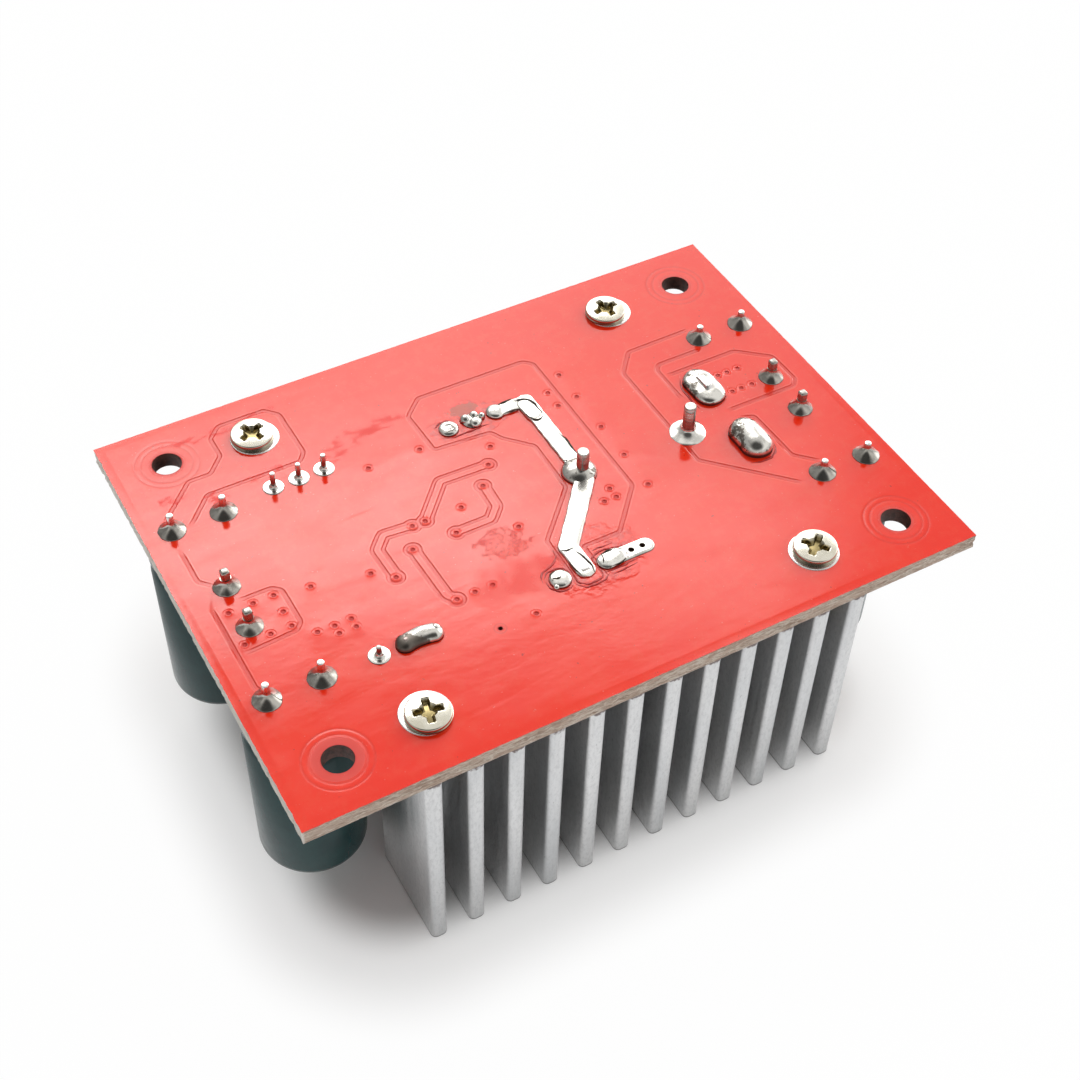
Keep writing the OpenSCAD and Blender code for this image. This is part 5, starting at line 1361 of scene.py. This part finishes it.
def sleeve_bands(grow=0.012, sink=0.02, spread=24, step=4, foot=1.4, head=4.6):
    """Pale plain band along each sleeve on its inner side, for the negative lead."""
    shell = Shell()
    for side, end in ((side, end) for side in SIDES for end in ENDS):
        way = 0 if end == "output" else 180
        low, high = node_box(f"{side}_{end}_capacitor_sleeve")
        x, y, r = (low.x + high.x) / 2, (low.y + high.y) / 2, (high.x - low.x) / 2
        ways = [math.radians(way + a) for a in range(-spread, spread + 1, step)]
        section = [((r + grow) * math.cos(a), (r + grow) * math.sin(a)) for a in ways]
        section += [((r - sink) * math.cos(a), (r - sink) * math.sin(a)) for a in reversed(ways)]
        shell.loft([[(x + dx, y + dy, z) for dx, dy in section] for z in (low.z + foot, high.z - head)])
    bands = shell.make("sleeve_bands", BAND_PRINT, sharp=50)


screw_pads()
screw_heads()
wrinkles("mask_ridges", [(RIDGE_SINK, points) for points in RIDGES], 0.13, 0.075, RIDGE_RED)
wrinkles("dark_seams", SEAMS, 0.10, 0.08, SEAM_BROWN)
sleeve_bands()


# Floor, light and camera

class Sky(Nodes):
    """World shader built from smooth bands of direction."""

    def __init__(self):
        world = bpy.data.worlds.new("studio")
        bpy.context.scene.world = world
        super().__init__(world, "OutputWorld", "Background")
        self.direction = self.add("TexCoord").outputs["Generated"]
        x, y, self.rise = self.fill(self.add("SeparateXYZ"), Vector=self.direction).outputs
        self.turn = self.maths("ARCTAN2", y, x)

    def azimuth(self, low, high, out_low=0.0, out_high=1.0):
        return self.ramp(self.turn, math.radians(low), math.radians(high), out_low, out_high)

    def level(self, *steps):
        return self.ramp(self.rise, *steps)

    def near(self, way, *steps):
        dot = self.vector("DOT_PRODUCT", self.direction, Vector(way).normalized())
        return self.ramp(dot.outputs["Value"], *steps)


FLOOR_HALF = 4.0
# Box under the part from which the floor's painted glow is held back, so that its shade shows near the part
SHADE_MIDDLE, SHADE_HALF, SHADE_R = (-0.6, 0.0), (20.6, 13.5), 6.2
# Painted white glow that comes in with distance from it: from, to, share
GLOW_STEPS = ((0, 6, 0.58), (5, 14, 0.40))


def build_floor():
    """White floor that shows its real shade near the part, with a painted glow for camera, glossy and transmission
    rays that grows with distance and turns it plain white farther off.
    """
    mesh = bpy.data.meshes.new("floor")
    mesh.from_pydata([(x, y, 0) for x, y in box_loop(FLOOR_HALF, FLOOR_HALF)], [], [(0, 1, 2, 3)])
    g = Graph("floor_painted_glow")
    g.fill(g.shader, Base_Color=(0.95, 0.95, 0.95), Roughness=0.8, Specular_IOR_Level=0.1)
    rays = g.add("LightPath").outputs
    seen = g.maths("ADD", *(rays[f"Is {kind} Ray"] for kind in ("Camera", "Glossy", "Transmission")), clamp=True)
    beyond = [g.most(g.less(g.maths("ABSOLUTE", g.less(g.axis(i), middle * MM)), half * MM), 0.0)
              for i, (middle, half) in enumerate(zip(SHADE_MIDDLE, SHADE_HALF))]
    away = g.less(g.maths("SQRT", g.plus(*(g.times(part, part) for part in beyond))), SHADE_R * MM)
    # Painted glow: white emission that grows with distance from the part
    white = g.plus(*(g.ramp(away, near * MM, far * MM, 0.0, share) for near, far, share in GLOW_STEPS))
    blend = g.add("MixShader")
    for value, socket in zip((g.times(seen, white), g.shader.outputs[0], g.add("Emission").outputs[0]), blend.inputs):
        g.put(value, socket)
    g.put(blend.outputs[0], g.output.inputs[0])
    mesh.materials.append(g.material)
    floor = place("floor", mesh)


def light():
    """Soft white surroundings with a bright panel behind, a low glow at the back and one at the right."""
    sky = Sky()
    spread = sky.times(sky.plus(sky.azimuth(42.5, 49, 0.0, 0.48), sky.azimuth(49, 66, 0.0, 0.52)),
                       sky.azimuth(82, 112, 1.0, 0.0))
    band = sky.times(sky.level(0.742, 0.800, 1.0, 0.0), sky.level(0.672, 0.735, 0.40, 1.0), sky.level(0.46, 0.58))
    panel = sky.times(spread, band, 6.6)
    back = sky.times(sky.azimuth(-5, 25), sky.azimuth(62, 88, 1.0, 0.0), sky.level(0.06, 0.20),
                     sky.level(0.40, 0.58, 2.2, 0.0))
    right = sky.near((0.9, 0.25, 0.28), 0.86, 0.97, 0.0, 1.4)
    fill = sky.times(sky.plus(1.0, sky.level(0.10, 0.45, -0.35, 0.0)),
                     sky.near((-0.27, -0.47, 0.84), 0.64, 0.93, 1.0, 0.08),
                     sky.near((-0.75, 0.60, 0.25), 0.45, 0.90, 1.0, 0.45))
    sky.fill(sky.shader, Strength=sky.plus(fill, panel, back, right), Color=(1.0, 0.99, 0.96))


def camera():
    data = bpy.data.cameras.new("camera")
    data.sensor_width = 36.0
    data.lens = 57.618
    data.clip_start = 0.005
    eye = place("camera", data)
    eye.location = (-0.055680, -0.096247, 0.142101)
    eye.rotation_euler = Euler([math.radians(a) for a in (42.3129, -1.3114, -29.2492)], "XYZ")
    bpy.context.scene.camera = eye


build_floor()
light()
camera()
bpy.context.scene.view_settings.view_transform = "Standard"
